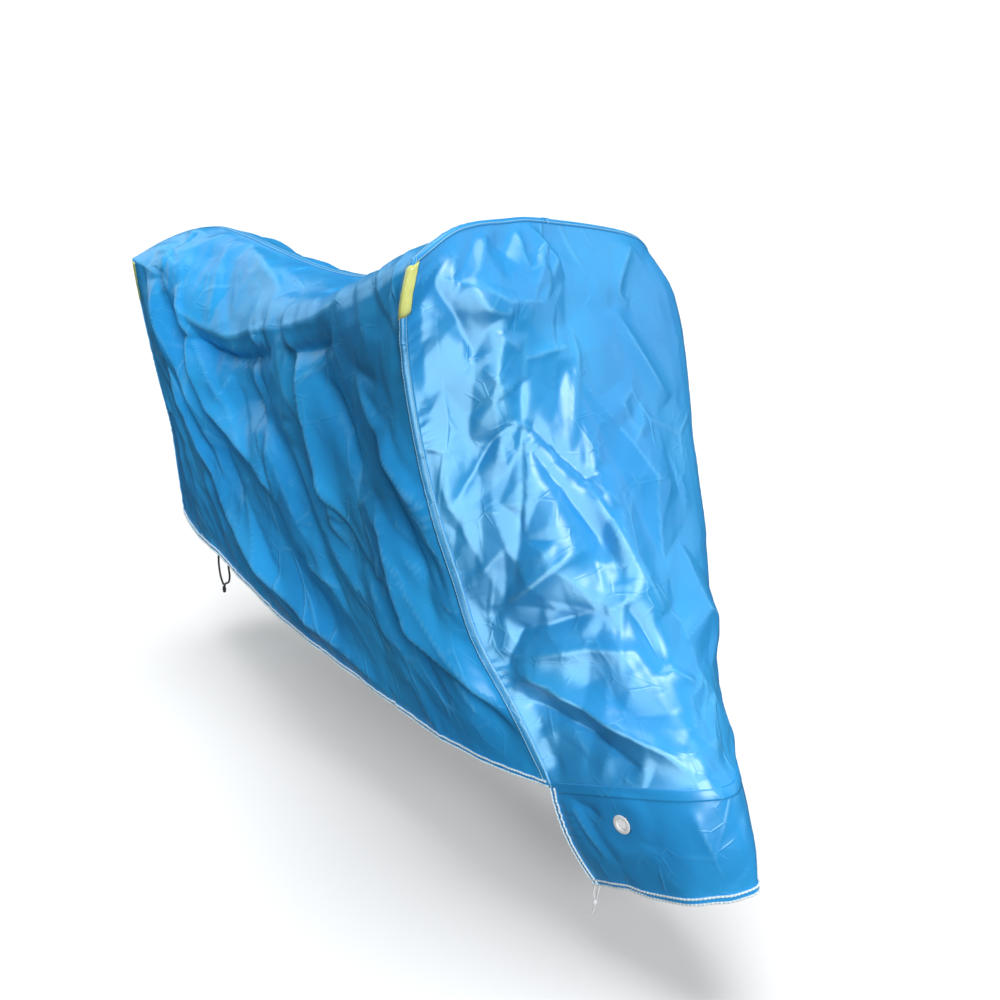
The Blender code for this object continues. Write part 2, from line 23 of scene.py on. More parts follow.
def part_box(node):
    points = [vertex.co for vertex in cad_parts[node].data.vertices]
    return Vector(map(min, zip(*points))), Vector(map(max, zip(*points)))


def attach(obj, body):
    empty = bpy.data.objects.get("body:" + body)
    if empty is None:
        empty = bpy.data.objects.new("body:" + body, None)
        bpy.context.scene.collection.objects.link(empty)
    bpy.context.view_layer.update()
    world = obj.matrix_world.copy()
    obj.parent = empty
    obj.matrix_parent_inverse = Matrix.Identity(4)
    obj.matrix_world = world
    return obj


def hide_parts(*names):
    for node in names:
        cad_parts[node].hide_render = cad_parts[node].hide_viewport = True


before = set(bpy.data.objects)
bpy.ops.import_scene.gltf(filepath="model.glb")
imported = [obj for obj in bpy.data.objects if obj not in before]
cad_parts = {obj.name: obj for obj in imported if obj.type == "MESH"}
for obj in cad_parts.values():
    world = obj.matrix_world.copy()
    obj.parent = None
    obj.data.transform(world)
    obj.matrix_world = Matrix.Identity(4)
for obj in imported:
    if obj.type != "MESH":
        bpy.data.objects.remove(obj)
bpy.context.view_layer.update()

# %% [markdown]
# ## The camera
#
# A camera is an object that holds lens data. It stands a little higher than the cover's top, in
# front of the cover and to its right, and looks back along it. The direction is built from two
# angles, and to_track_quat turns the camera's own -Z axis that way.

# %% Camera
EYE = Vector((1.94, -1.05, 0.2424))
AZIMUTH = math.radians(53.5)
ELEVATION = math.radians(18.0)

eye_data = bpy.data.cameras.new("photo_view")
eye_data.sensor_width = 36.0
eye_data.lens = 39.6
eye = bpy.data.objects.new("photo_view", eye_data)
back = Vector((math.sin(AZIMUTH) * math.cos(ELEVATION),
               -math.cos(AZIMUTH) * math.cos(ELEVATION),
               math.sin(ELEVATION)))
eye.location = EYE
eye.rotation_mode = "QUATERNION"
eye.rotation_quaternion = (-back).to_track_quat("-Z", "Y")
bpy.context.collection.objects.link(eye)
bpy.context.scene.camera = eye
print("camera at", tuple(round(c, 3) for c in eye.location))

# %% [markdown]
# ## Sums on sockets
#
# A material is a small program of nodes. Wiring each Math node by hand hides the formula, so a
# class wraps a socket, and a plus or a star on it adds the Math node. Finish makes the material,
# and its node method adds any other kind of node: its settings first, then its sockets.

# %% A socket that can be added and multiplied
class Value:
    """A socket of a finish; sums on it add Math nodes."""

    def __init__(self, finish, socket):
        self.finish = finish
        self.socket = socket

    def __add__(self, other):
        return self.finish.maths("ADD", self, other)

    def __sub__(self, other):
        return self.finish.maths("SUBTRACT", self, other)

    def __rsub__(self, other):
        return self.finish.maths("SUBTRACT", other, self)

    def __mul__(self, other):
        return self.finish.maths("MULTIPLY", self, other)

    __radd__ = __add__
    __rmul__ = __mul__


# A wave texture of scale 1 has its bands this far apart, in metres.
BAND = 0.314


class Finish:
    """A material; numbers that are the same all over sit on the shader's own sockets."""

    def __init__(self, name, **fixed):
        self.material = bpy.data.materials.new(name)
        self.material.use_nodes = True
        self.tree = self.material.node_tree
        self.shader = self.tree.nodes["Principled BSDF"]
        for socket, value in fixed.items():
            self.shader.inputs[socket.replace("_", " ")].default_value = value

    def node(self, kind, settings=None, inputs=None, output=0):
        """Any node: its settings, then its sockets, by name or number."""
        made = self.tree.nodes.new(kind)
        for key, value in (settings or {}).items():
            setattr(made, key, value)
        for key, value in (inputs or {}).items():
            self.feed(made.inputs[key], value)
        return Value(self, made.outputs[output])

    def feed(self, socket, value):
        if isinstance(value, Value):
            self.tree.links.new(value.socket, socket)
        else:
            socket.default_value = value

    def maths(self, operation, a, b):
        return self.node("ShaderNodeMath", {"operation": operation}, {0: a, 1: b})

    def mix(self, share, a, b):
        """One colour turning into another."""
        settings = {"data_type": "RGBA", "clamp_factor": True}
        return self.node("ShaderNodeMix", settings, {0: share, 6: a, 7: b}, 2)

    def noise(self, place, scale, detail, roughness=0.5, stretch=(1.0, 1.0, 1.0)):
        """Cloudy values from 0 to 1; stretch makes them longer or shorter along an axis."""
        spread = self.node("ShaderNodeMapping", None, {"Vector": place, "Scale": stretch})
        inputs = {"Vector": spread, "Scale": scale, "Detail": detail, "Roughness": roughness}
        return self.node("ShaderNodeTexNoise", None, inputs)

    def bands(self, place, direction, pitch):
        """Waves along one axis, one for each pitch in metres."""
        inputs = {"Vector": place, "Scale": BAND / pitch}
        return self.node("ShaderNodeTexWave", {"bands_direction": direction}, inputs)

    def ramp(self, value, low, high):
        """0 below low, 1 above high, and a smooth step between."""
        settings = {"interpolation_type": "SMOOTHSTEP", "clamp": True}
        return self.node("ShaderNodeMapRange", settings, {0: value, 1: low, 2: high})

    def bump(self, height, distance, strength=1.0, after=None):
        inputs = {"Height": height, "Distance": distance, "Strength": strength}
        if after is not None:
            inputs["Normal"] = after
        return self.node("ShaderNodeBump", None, inputs)

    def set(self, socket, value):
        self.feed(self.shader.inputs[socket], value)
        return self


# %% [markdown]
# ## The finishes
#
# The cloth is a thin weave with a coat on its face. Close up it has a fine ribbed weave, small
# wrinkles that run in all directions, and pale lines where it was folded for storage, because
# the coat whitens when it is creased. Each panel carries a point attribute called cloth, with
# the place on the flat cloth in metres, so the weave follows the panel round its folds. A second
# attribute, worn_and_sheen, is 1 on a sharp crease and on the sharpest outward ridges, which it
# makes paler: partly the coat's whitening, partly a painted highlight along the ridges. All panels
# have the same shade, and the front panel's coat is the shiniest.

# %% The coated cloth
CLOTH_BLUE = (0.026, 0.350, 0.760, 1.0)
CLOTH_PALE = (0.150, 0.540, 0.900, 1.0)
CLOTH_DEEP = (0.019, 0.298, 0.710, 1.0)
WEAVE_PITCH = 0.0016


def creased(finish, place, scale, stretch, turn, width):
    """Thin straight creases that meet at corners; only some stretches of them show."""
    spread = finish.node("ShaderNodeMapping", None,
                         {"Vector": place, "Scale": stretch, "Rotation": (0.0, 0.0, turn)})
    edges = finish.node("ShaderNodeTexVoronoi", {"feature": "DISTANCE_TO_EDGE"},
                        {"Vector": spread, "Scale": scale})
    shown = finish.ramp(finish.noise(place, scale * 0.5, 2.0), 0.48, 0.62)
    return (1.0 - finish.ramp(edges, 0.0, width)) * shown


def coated_cloth(name, roughness, refraction, coat):
    """Blue coated cloth: weave, crossing creases, and a paler line on each worn crease, partly a painted
    highlight on sharp ridges.
    """
    finish = Finish(name, IOR=refraction, Coat_Roughness=0.26, Specular_Tint=(0.78, 0.96, 1.0, 1.0))
    place = finish.node("ShaderNodeAttribute", {"attribute_name": "cloth"}, output=1)
    worn_and_sheen = finish.node("ShaderNodeAttribute", {"attribute_name": "worn_and_sheen"}, output=2)
    clouds = finish.noise(place, 4.0, 3.0)
    lines = creased(finish, place, 10.0, (1.0, 0.5, 1.0), 0.6, 0.040)
    small = creased(finish, place, 26.0, (0.9, 1.0, 1.0), -0.4, 0.060)
    grain = finish.noise(place, 320.0, 3.0)
    ribs = finish.bands(place, "X", WEAVE_PITCH)
    picks = finish.bands(place, "Y", WEAVE_PITCH)
    shade = finish.mix(finish.ramp(clouds, 0.35, 0.65), CLOTH_DEEP, CLOTH_BLUE)
    # Paler colour from the worn_and_sheen mark (crease whitening plus a painted ridge highlight) and along
    # the crease lines.
    pale = worn_and_sheen * 0.45 + lines * 0.22 + small * 0.08
    finish.set("Base Color", finish.mix(pale, shade, CLOTH_PALE))
    finish.set("Roughness", roughness + (grain - 0.5) * 0.10 + worn_and_sheen * 0.08)
    finish.set("Coat Weight", (1.0 - worn_and_sheen * 0.4) * coat)
    weave = finish.bump(ribs + picks, 0.000025, 0.5)
    crumple = finish.bump(lines, 0.0013, 0.8, weave)
    finish.set("Normal", finish.bump(small, 0.0005, 0.7, crumple))
    return finish.material


CLOTH_FRONT = coated_cloth("coated_cloth_front", 0.36, 1.62, 0.22)
CLOTH_SIDE = coated_cloth("coated_cloth_sides", 0.32, 1.34, 0.08)
print("cloth finishes:", CLOTH_FRONT.name, CLOTH_SIDE.name)

# %% [markdown]
# The threads are twisted yarn, the eyelets are moulded plastic with a fine satin grain, and the
# cords are braided. A braid is two sets of slanted waves that cross. A curve's tube has no
# attribute for its length, so the braid reads Object coordinates, which is right for cords that
# hang nearly straight down.

# %% Threads, plastic and cords
BRAID_RELIEF = 0.00048


def yarn(name, colour, dark, pitch, roughness):
    """Braided or twisted yarn of one colour."""
    finish = Finish(name, Sheen_Weight=0.15)
    place = finish.node("ShaderNodeTexCoord", None, None, 3)
    waves = []
    for lean in (1.0, -1.0):
        turned = finish.node("ShaderNodeMapping", None,
                             {"Vector": place, "Rotation": (0.6 * lean, 0.7 * lean, 0.0)})
        waves.append(finish.bands(turned, "Z", pitch))
    braid = waves[0] * waves[1]
    fluff = finish.noise(place, 900.0, 2.0)
    finish.set("Base Color", finish.mix(braid * 0.7 + fluff * 0.3, dark, colour))
    finish.set("Roughness", roughness + fluff * 0.15)
    finish.set("Normal", finish.bump(braid + fluff * 0.3, BRAID_RELIEF, 0.9))
    return finish.material


THREAD_HEM = yarn("hem_thread", (0.90, 0.99, 1.00, 1.0), (0.78, 0.94, 0.99, 1.0), 0.0009, 0.50)
THREAD_SEAM = yarn("seam_thread", (0.45, 0.80, 0.95, 1.0), (0.25, 0.62, 0.88, 1.0), 0.0007, 0.45)
TIE_WHITE = yarn("tie_braid", (0.95, 0.96, 0.97, 1.0), (0.80, 0.83, 0.86, 1.0), 0.0014, 0.70)
LOOP_BLACK = yarn("loop_braid", (0.030, 0.030, 0.034, 1.0), (0.006, 0.006, 0.007, 1.0), 0.0020, 0.62)


def satin_plastic(name, colour, deep):
    finish = Finish(name, IOR=1.49)
    place = finish.node("ShaderNodeTexCoord", None, None, 3)
    grain = finish.noise(place, 1400.0, 2.0)
    cast = finish.noise(place, 60.0, 2.0)
    finish.set("Base Color", finish.mix(cast, deep, colour))
    finish.set("Roughness", 0.30 + grain * 0.14)
    finish.set("Normal", finish.bump(grain, 0.00008, 0.5))
    return finish.material


EYELET_WHITE = satin_plastic("eyelet_white", (0.90, 0.91, 0.92, 1.0), (0.80, 0.82, 0.84, 1.0))

# %% [markdown]
# Reflective tape shines because tiny cells under its face send light back. Here a Voronoi
# pattern gives the cells, the attribute cloth holds the place along and across the tape, and
# the yellow turns to dark teal at both edges: painted shade where the tape's edges fall in shadow.

# %% Reflective tape
TAPE_WIDTH = 0.027
# Width of the painted shade at each edge of the tape.
TAPE_SHADED_EDGE = 0.0014


def reflective_tape(name):
    finish = Finish(name, IOR=1.5, Coat_Roughness=0.12)
    place = finish.node("ShaderNodeAttribute", {"attribute_name": "cloth"}, output=1)
    across = finish.node("ShaderNodeSeparateXYZ", None, {0: place})
    inner = TAPE_WIDTH / 2 - TAPE_SHADED_EDGE
    # Mask of the painted shade along both edges.
    edge = finish.ramp(finish.maths("ABSOLUTE", across, 0.0), inner - 0.0006, inner + 0.0006)
    cells = finish.node("ShaderNodeTexVoronoi", {"feature": "DISTANCE_TO_EDGE"},
                        {"Vector": place, "Scale": 420.0})
    rim = finish.ramp(cells, 0.02, 0.10)
    scuff = finish.noise(place, 60.0, 4.0)
    yellow = finish.mix(rim, (0.76, 0.82, 0.22, 1.0), (0.86, 0.91, 0.30, 1.0))
    yellow = finish.mix(finish.ramp(scuff, 0.55, 0.75) * 0.5, yellow, (0.70, 0.82, 0.34, 1.0))
    # Dark teal at both edges: painted shade along the tape's edges.
    finish.set("Base Color", finish.mix(edge, yellow, (0.02, 0.25, 0.33, 1.0)))
    finish.set("Roughness", 0.34 + scuff * 0.2)
    finish.set("Coat Weight", (1.0 - edge) * 0.6)
    finish.set("Normal", finish.bump(rim, 0.0002, 0.7))
    return finish.material


TAPE = reflective_tape("reflective_tape_cells")

# %% [markdown]
# ## Cords
#
# A cord is a curve with a round bevel. The tie's two strands leave the bib's corner and are
# knotted together, and one of them goes on as the tail. The loop's two legs leave the rear hem
# and end in one crimp. Each follows the same points as its solid.

# %% Routes of the cords
TOP_X, TOP_Z, CLOTH, FIT = 0.30, 0.9585, 0.0012, 0.0003
HELD_AT = Vector((TOP_X, 0.0, TOP_Z - CLOTH / 2 - FIT))
TIE_RADIUS, LOOP_RADIUS = 0.0014, 0.0023
FINE = 8


def smooth_point(points, t):
    """The point at t, counted in points, on the smooth curve through them."""
    last = len(points) - 1
    i = min(int(t), last - 1)
    f = t - i
    p1, p2 = points[i], points[i + 1]
    p0 = points[i - 1] if i > 0 else 2 * p1 - p2
    p3 = points[i + 2] if i + 2 <= last else 2 * p2 - p1
    bend = (2 * p0 - 5 * p1 + 4 * p2 - p3) * f * f + (3 * p1 - p0 - 3 * p2 + p3) * f ** 3
    return 0.5 * (2 * p1 + (p2 - p0) * f + bend)


def evenly(points, cells, start=0, stop=None):
    """Evenly spaced points on the smooth curve, between two of its own points."""
    stop = len(points) - 1 if stop is None else stop
    dense = [smooth_point(points, start + k / FINE) for k in range((stop - start) * FINE + 1)]
    reach = [0.0]
    for a, b in zip(dense, dense[1:]):
        reach.append(reach[-1] + (b - a).length)
    row, k = [], 0
    for step in range(cells + 1):
        want = reach[-1] * step / cells
        while k < len(dense) - 2 and reach[k + 1] < want:
            k += 1
        row.append(dense[k].lerp(dense[k + 1], (want - reach[k]) / (reach[k + 1] - reach[k])))
    return row


def vectors(points):
    return [Vector(point) for point in points]


def round_curve(name, radius, resolution):
    """An empty curve with a round bevel and closed ends."""
    curve = bpy.data.curves.new(name, "CURVE")
    curve.dimensions = "3D"
    curve.bevel_depth = radius
    curve.bevel_resolution = resolution
    curve.use_fill_caps = True
    return curve


def add_piece(name, data, slot):
    """Put a mesh or a curve into the scene, as a piece that rides on the body."""
    piece = bpy.data.objects.new(name, data)
    bpy.context.collection.objects.link(piece)
    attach(piece, "root")
    return piece


def cord_piece(name, node, hem, route, cells, radius, material, slot):
    """A tube on a smooth route, given in metres above the ground, from its place on the hem."""
    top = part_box(node)[1][2] + HELD_AT.z
    points = [point - HELD_AT for point in evenly(vectors([(*hem, top), *route]), cells)]
    curve = round_curve(name, radius, 4)
    line = curve.splines.new("POLY")
    line.points.add(len(points) - 1)
    for spot, point in zip(line.points, points):
        spot.co = (*point, 1.0)
    curve.materials.append(material)
    piece = add_piece(name, curve, slot)
    length = sum((b - a).length for a, b in zip(points, points[1:]))
    print(name, "is", round(length * 1000, 1), "mm long")
    return piece, points, length


# %% The tie and the loop
TIE_TOP = ((1.1916, -0.0938), (1.2010, -0.0929))
TIE_KNOT = Vector((1.1948, -0.0960, 0.0988))
tie_route = ((1.1905, -0.0955, 0.1130), (1.1932, -0.0960, 0.1034), (1.1948, -0.0960, 0.0985),
             (1.1946, -0.0960, 0.0939), (1.1930, -0.0970, 0.0830), (1.1890, -0.0985, 0.0730))
short_route = ((1.2000, -0.0955, 0.1150), (1.1964, -0.0960, 0.1020))
WHITE_CORD = (TIE_RADIUS, TIE_WHITE, "white_cord")
BLACK_CORD = (LOOP_RADIUS, LOOP_BLACK, "black_cord")
tie, tie_points, tie_length = cord_piece("tie_long_strand", "tie_strand_a", TIE_TOP[0], tie_route, 24,
                                         *WHITE_CORD)
tie_b = cord_piece("tie_short_strand", "tie_strand_b", TIE_TOP[1], short_route, 8, *WHITE_CORD)[0]
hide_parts("tie_strand_a", "tie_tail")
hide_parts("tie_strand_b")

loop_a_route = ((-0.0400, -0.1660, 0.2920), (-0.0400, -0.1665, 0.2780), (-0.0340, -0.1670, 0.2520),
                (-0.0212, -0.1670, 0.2346))
loop_b_route = ((0.0184, -0.1672, 0.2900), (0.0255, -0.1690, 0.2720), (0.0170, -0.1690, 0.2540),
                (-0.0070, -0.1672, 0.2420), (-0.0148, -0.1670, 0.2346))
loop_a, loop_a_points, loop_a_length = cord_piece(
    "loop_rear_leg", "loop_leg_a", (-0.0400, -0.1653), loop_a_route, 18, *BLACK_CORD)
loop_b, loop_b_points, loop_b_length = cord_piece(
    "loop_front_leg", "loop_leg_b", (0.0180, -0.1658), loop_b_route, 20, *BLACK_CORD)
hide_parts("loop_leg_a")
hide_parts("loop_leg_b")

# %% [markdown]
# The knot is one turn of the strand round itself. A full knot is a curve that crosses itself, and
# at this size only its outline shows: a round lump with two wrapped turns. The crimp is a short
# sleeve of wound cord. Both start as a profile that a spin turns round, so they are round
# without any work on vertices.

# %% A turned piece
def link_mesh(name, work, material, slot, angle=35.0):
    """Write a bmesh to a new piece that rides on the body."""
    mesh = bpy.data.meshes.new(name)
    bmesh.ops.recalc_face_normals(work, faces=work.faces)
    work.to_mesh(mesh)
    work.free()
    mesh.shade_smooth()
    mesh.set_sharp_from_angle(angle=math.radians(angle))
    mesh.materials.append(material)
    return add_piece(name, mesh, slot)


def turned(profile, steps, place):
    """A closed profile of (radius, height) turned about its own Z, then placed."""
    work = bmesh.new()
    ring = [work.verts.new((radius, 0.0, height)) for radius, height in profile]
    edges = [work.edges.new((a, b)) for a, b in zip(ring, ring[1:] + ring[:1])]
    bmesh.ops.spin(work, geom=ring + edges, cent=(0, 0, 0), axis=(0, 0, 1),
                   angle=math.tau, steps=steps, use_merge=True)
    bmesh.ops.transform(work, matrix=place, verts=work.verts)
    return work


def wound_profile(radius, core, height, turns, cells):
    """The outline of cord wound on a core: one bulge for each turn."""
    outline = [(core, -height / 2)]
    for k in range(turns * cells + 1):
        share = k / (turns * cells)
        swell = abs(math.sin(math.pi * share * turns))
        ends = math.sin(math.pi * share) ** 0.35 if 0 < share < 1 else 0.0
        bulge = (radius - core) * (0.35 + 0.65 * swell) * ends
        outline.append((core + bulge + 0.0002, (share - 0.5) * height))
    outline.append((core, height / 2))
    return outline


knot_place = Matrix.Translation(TIE_KNOT - HELD_AT) @ Matrix.Rotation(math.radians(14.0), 4, "Y")
knot = turned(wound_profile(0.0040, 0.0006, 0.0086, 2, 8), 24, knot_place)
tie_knot = link_mesh("tie_knot_turns", knot, TIE_WHITE, "white_cord", 60.0)
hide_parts("tie_knot")

crimp_at = Vector((-0.0180, -0.1670, 0.22475)) - HELD_AT
crimp = turned(wound_profile(0.0045, 0.0008, 0.0170, 4, 8), 24, Matrix.Translation(crimp_at))
loop_crimp = link_mesh("loop_crimp_turns", crimp, LOOP_BLACK, "black_cord", 60.0)
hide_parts("loop_crimp")

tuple(tie_points[0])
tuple(loop_a_points[0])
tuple(loop_b_points[0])

# %% [markdown]
# ## The cover's own shape
#
# A panel is a grid. Its rows and columns follow a few measured curves: sections across the
# sides, levels down the front, and the bib's hem. These are the same tables that the solids
# were made from, so the fine cloth lies where the frame says.

# %% Measured curves, in millimetres above the ground
def metres(value):
    """A whole number, or any nest of them, from millimetres to metres."""
    return value / 1000 if isinstance(value, int) else tuple(metres(part) for part in value)


Section = namedtuple("Section", "top_x top_z crown shoulder belly hem turn")
SECTIONS = [Section(*metres(row)) for row in (
    (862, 1062, 12, (905, -272, 1008), (905, -224, 640), (965, -158, 261), 110),
    (700, 1016, 15, (770, -250, 966), (750, -212, 600), (790, -165, 253), 70),
    (510, 974, 16, (600, -222, 917), (575, -198, 580), (605, -168, 256), 30),
    (350, 957, 18, (440, -195, 888), (415, -188, 560), (430, -168, 260), 10),
    (200, 963, 30, (270, -172, 857), (250, -180, 540), (270, -168, 262), 0),
    (40, 981, 45, (85, -162, 818), (90, -173, 540), (100, -167, 287), 0),
    (-130, 1003, 40, (-90, -167, 840), (-80, -169, 550), (-60, -165, 306), 0),
    (-280, 1012, 26, (-235, -174, 912), (-215, -163, 570), (-195, -154, 302), 0),
)]
Level = namedtuple("Level", "near_seam near_mid near_front centre corner far_seam")
LEVELS = [Level(*metres(row)) for row in (
    ((995, -270, 1054), (972, -185, 1091), (950, -90, 1097), (933, 0, 1093), (892, 215, 1058),
     (842, 311, 1001)),
    ((988, -284, 985), (1024, -175, 1012), (1006, -85, 1020), (985, 0, 1018), (920, 268, 985),
     (852, 305, 945)),
    ((966, -269, 905), (1030, -165, 932), (1031, -80, 940), (1022, 0, 943), (948, 272, 920),
     (872, 288, 880)),
    ((953, -241, 780), (1058, -142, 766), (1088, -72, 774), (1105, 0, 780), (1030, 232, 765),
     (918, 248, 760)),
    ((958, -216, 668), (1090, -130, 672), (1136, -68, 680), (1155, 0, 685), (1085, 205, 670),
     (945, 219, 655)),
    ((974, -194, 575), (1126, -118, 578), (1180, -65, 586), (1203, 0, 590), (1140, 172, 575),
     (968, 194, 570)),
    ((997, -173, 475), (1165, -110, 484), (1226, -64, 494), (1252, 0, 500), (1190, 140, 485),
     (997, 173, 475)),
    ((1062, -152, 382), (1215, -109, 392), (1288, -66, 406), (1315, 0, 412), (1240, 106, 395),
     (1062, 152, 382)),
    ((1120, -127, 272), (1240, -110, 320), (1340, -66, 348), (1368, 0, 350), (1290, 75, 335),
     (1120, 127, 272)),
)]
Tail = namedtuple("Tail", "seam middle")
TAIL = [Tail(*metres(row)) for row in (
    ((-400, -175, 940), (-400, 0, 1002)),
    ((-397, -170, 870), (-428, 0, 905)),
    ((-380, -165, 780), (-420, 0, 800)),
    ((-358, -155, 660), (-400, 0, 665)),
    ((-335, -143, 545), (-378, 0, 545)),
    ((-327, -139, 430), (-360, 0, 425)),
    ((-320, -135, 322), (-350, 0, 312)),
)]
BIB_HEM = metres((
    (1190, -94, 126),
    (1252, -88, 153),
    (1316, -80, 171),
    (1377, -66, 192),
    (1414, 0, 203),
    (1388, 28, 197),
    (1342, 55, 182),
    (1280, 75, 163),
    (1190, 94, 126),
))
BIB_BULGE = 0.010

# %% Cells of the fine cloth
SIDE_CELLS, CROWN_ROWS, DROP_ROWS = 240, 40, 120
FRONT_HALF, FRONT_ROWS = 80, 240
REAR_HALF, REAR_ROWS = 40, 120
BIB_ROWS = 56


def flip(point):
    return Vector((point[0], -point[1], point[2]))


def front_lines(half, rows):
    """Rows from the ridge to the bib's seam, each from the near seam to the far one."""
    columns = [evenly(vectors(column), rows) for column in zip(*LEVELS)]
    centre = Level._fields.index("centre")
    lines = []
    for row in zip(*columns):
        lines.append(evenly(row, half, 0, centre) + evenly(row, half, centre)[1:])
    return lines


def rear_lines(half, rows):
    """Rows from the tail's top edge to the hem, each from the near seam to the far one."""
    seam = evenly([Vector(level.seam) for level in TAIL], rows)
    middle = evenly([Vector(level.middle) for level in TAIL], rows)
    lines = []
    for edge, mid in zip(seam, middle):
        quarter = edge.lerp(mid, 0.55) + Vector((-0.012, 0.0, 0.012 * (edge.z - 0.322)))
        row = [edge, quarter, mid, flip(quarter), flip(edge)]
        lines.append(evenly(row, half, 0, 2) + evenly(row, half, 2)[1:])
    return lines


def side_section(section):
    """One section of the near side, from the top's centre down to the hem."""
    top = Vector((section.top_x, 0.0, section.top_z))
    shoulder = Vector(section.shoulder)
    crown = top.lerp(shoulder, 0.5) + Vector((0.0, 0.0, section.crown))
    line = [top, crown, shoulder, Vector(section.belly), Vector(section.hem)]
    return evenly(line, CROWN_ROWS, 0, 2) + evenly(line, DROP_ROWS, 2)[1:]


def far_section(section):
    """The same section on the far side, its shoulder set back by the section's turn."""
    line = [flip(point) for point in side_section(section)]
    for i, point in enumerate(line):
        share = i / CROWN_ROWS if i < CROWN_ROWS else (len(line) - 1 - i) / DROP_ROWS
        point.x -= section.turn * share
    return line


def side_lines(near):
    """Rows from the top's centre to the hem, each from the front seam to the rear one."""
    front = front_lines(CROWN_ROWS, DROP_ROWS)
    rear = rear_lines(CROWN_ROWS, DROP_ROWS)
    edge = 0 if near else -1
    half = slice(CROWN_ROWS, None, -1) if near else slice(CROWN_ROWS, None)
    sections = [front[0][half] + [row[edge] for row in front[1:]]]
    sections += [side_section(s) if near else far_section(s) for s in SECTIONS]
    sections += [rear[0][half] + [row[edge] for row in rear[1:]]]
    return [evenly(list(row), SIDE_CELLS) for row in zip(*sections)]


def bib_lines(front):
    """Rows from the bib's seam to its hem, on the front panel's own columns."""
    hem_line = vectors(BIB_HEM)
    centre = len(hem_line) // 2
    hem = evenly(hem_line, FRONT_HALF, 0, centre) + evenly(hem_line, FRONT_HALF, centre)[1:]
    middle = Vector((1.20, 0.0, 0.0))
    lines = []
    for k in range(BIB_ROWS + 1):
        t = k / BIB_ROWS
        row = []
        for a, b in zip(front[-1], hem):
            out = (a - middle) * Vector((1.0, 1.0, 0.0))
            row.append(a.lerp(b, t) + out.normalized() * BIB_BULGE * math.sin(math.pi * t))
        lines.append(row)
    return lines


# %% [markdown]
# ## A panel with its places
#
# Each panel keeps three grids of the same size: where its points are in space, how far along the
# cloth each one lies, and how far down. Whole grids are moved at once with numpy, which is far
# quicker than one point at a time. `out` is +1 or -1, the side on which the cloth's face is.

# %% The panel class
def soft_step(distance, reach):
    t = np.clip(distance / reach, 0.0, 1.0)
    return t * t * (3 - 2 * t)


class Panel:
    """A grid of cloth: its points, its places on the flat cloth, and what is worn or carries a painted
    ridge highlight.
    """

    def __init__(self, lines, along, down, out):
        self.points = np.array([[tuple(p - HELD_AT) for p in row] for row in lines])
        rows, columns = self.points.shape[:2]
        self.along = np.broadcast_to(np.asarray(along)[None, :], (rows, columns)).copy()
        self.down = np.broadcast_to(np.asarray(down)[:, None], (rows, columns)).copy()
        self.out = out
        self.worn_and_sheen = np.zeros((rows, columns))

    def normals(self):
        """The face's outward direction at each point."""
        down, along = np.gradient(self.points, axis=(0, 1))
        normal = np.cross(along, down)
        normal /= np.maximum(np.linalg.norm(normal, axis=2, keepdims=True), 1e-12)
        return normal * self.out

    def lift(self, heights):
        self.points = self.points + self.normals() * heights[..., None]

    def area(self):
        down = np.diff(self.points, axis=0)[:, :-1]
        along = np.diff(self.points, axis=1)[:-1]
        return float(np.linalg.norm(np.cross(down, along), axis=2).sum())


# %% [markdown]
# ## Folds
#
# A fold is a smooth path on the flat cloth with a height: above zero a ridge, below zero a
# trough. Its two flanks may have different widths, because hanging cloth leans over to one side,
# and its edge is round, or sharp where the coat has been pressed. The height falls off towards
# both ends of the path.

# %% Heights of the folds
Fold = namedtuple("Fold", "height left right edge path")


def folds_from(rows):
    """Folds from rows in millimetres: height, left and right width, edge, then the path's points."""
    return [Fold(*metres((height, left, right)), edge, metres(path))
            for height, left, right, edge, *path in rows]


def nearest_on(path, a, d):
    """Signed distance to a path, and how far along it the nearest place is, from 0 to 1."""
    line = np.array([tuple(p)[:2] for p in evenly([Vector((*p, 0.0)) for p in path], 5 * len(path))])
    best = np.full(a.shape, 9.0)
    where = np.zeros(a.shape)
    side = np.zeros(a.shape)
    runs = np.linalg.norm(np.diff(line, axis=0), axis=1)
    done, total = 0.0, runs.sum()
    for (pa, pd), (qa, qd), run in zip(line, line[1:], runs):
        along_a, along_d = (qa - pa) / run, (qd - pd) / run
        t = np.clip((a - pa) * along_a + (d - pd) * along_d, 0.0, run)
        off_a, off_d = a - pa - t * along_a, d - pd - t * along_d
        off = np.hypot(off_a, off_d)
        closer = off < best
        best = np.where(closer, off, best)
        where = np.where(closer, (done + t) / total, where)
        side = np.where(closer, np.sign(along_a * off_d - along_d * off_a), side)
        done += run
    return best * side, where


def fold_heights(panel, folds, narrow):
    """The sum of all folds over the panel, and the sharp creases that they mark as worn."""
    heights = np.zeros(panel.along.shape)
    for fold in folds:
        off, where = nearest_on(fold.path, panel.along, panel.down)
        width = np.where(off > 0, fold.left, fold.right) * narrow
        across = np.sqrt((off / width) ** 2 + 0.008)
        shape = np.exp(-(across ** (0.5 + 0.5 * fold.edge)))
        taper = np.maximum(np.sin(np.pi * where), 0.0) ** 0.6
        heights += fold.height * taper * shape
        if fold.edge < 1.15:
            panel.worn_and_sheen = np.maximum(panel.worn_and_sheen, taper * np.exp(-(off / 0.0040) ** 2) * 0.7)
    return heights


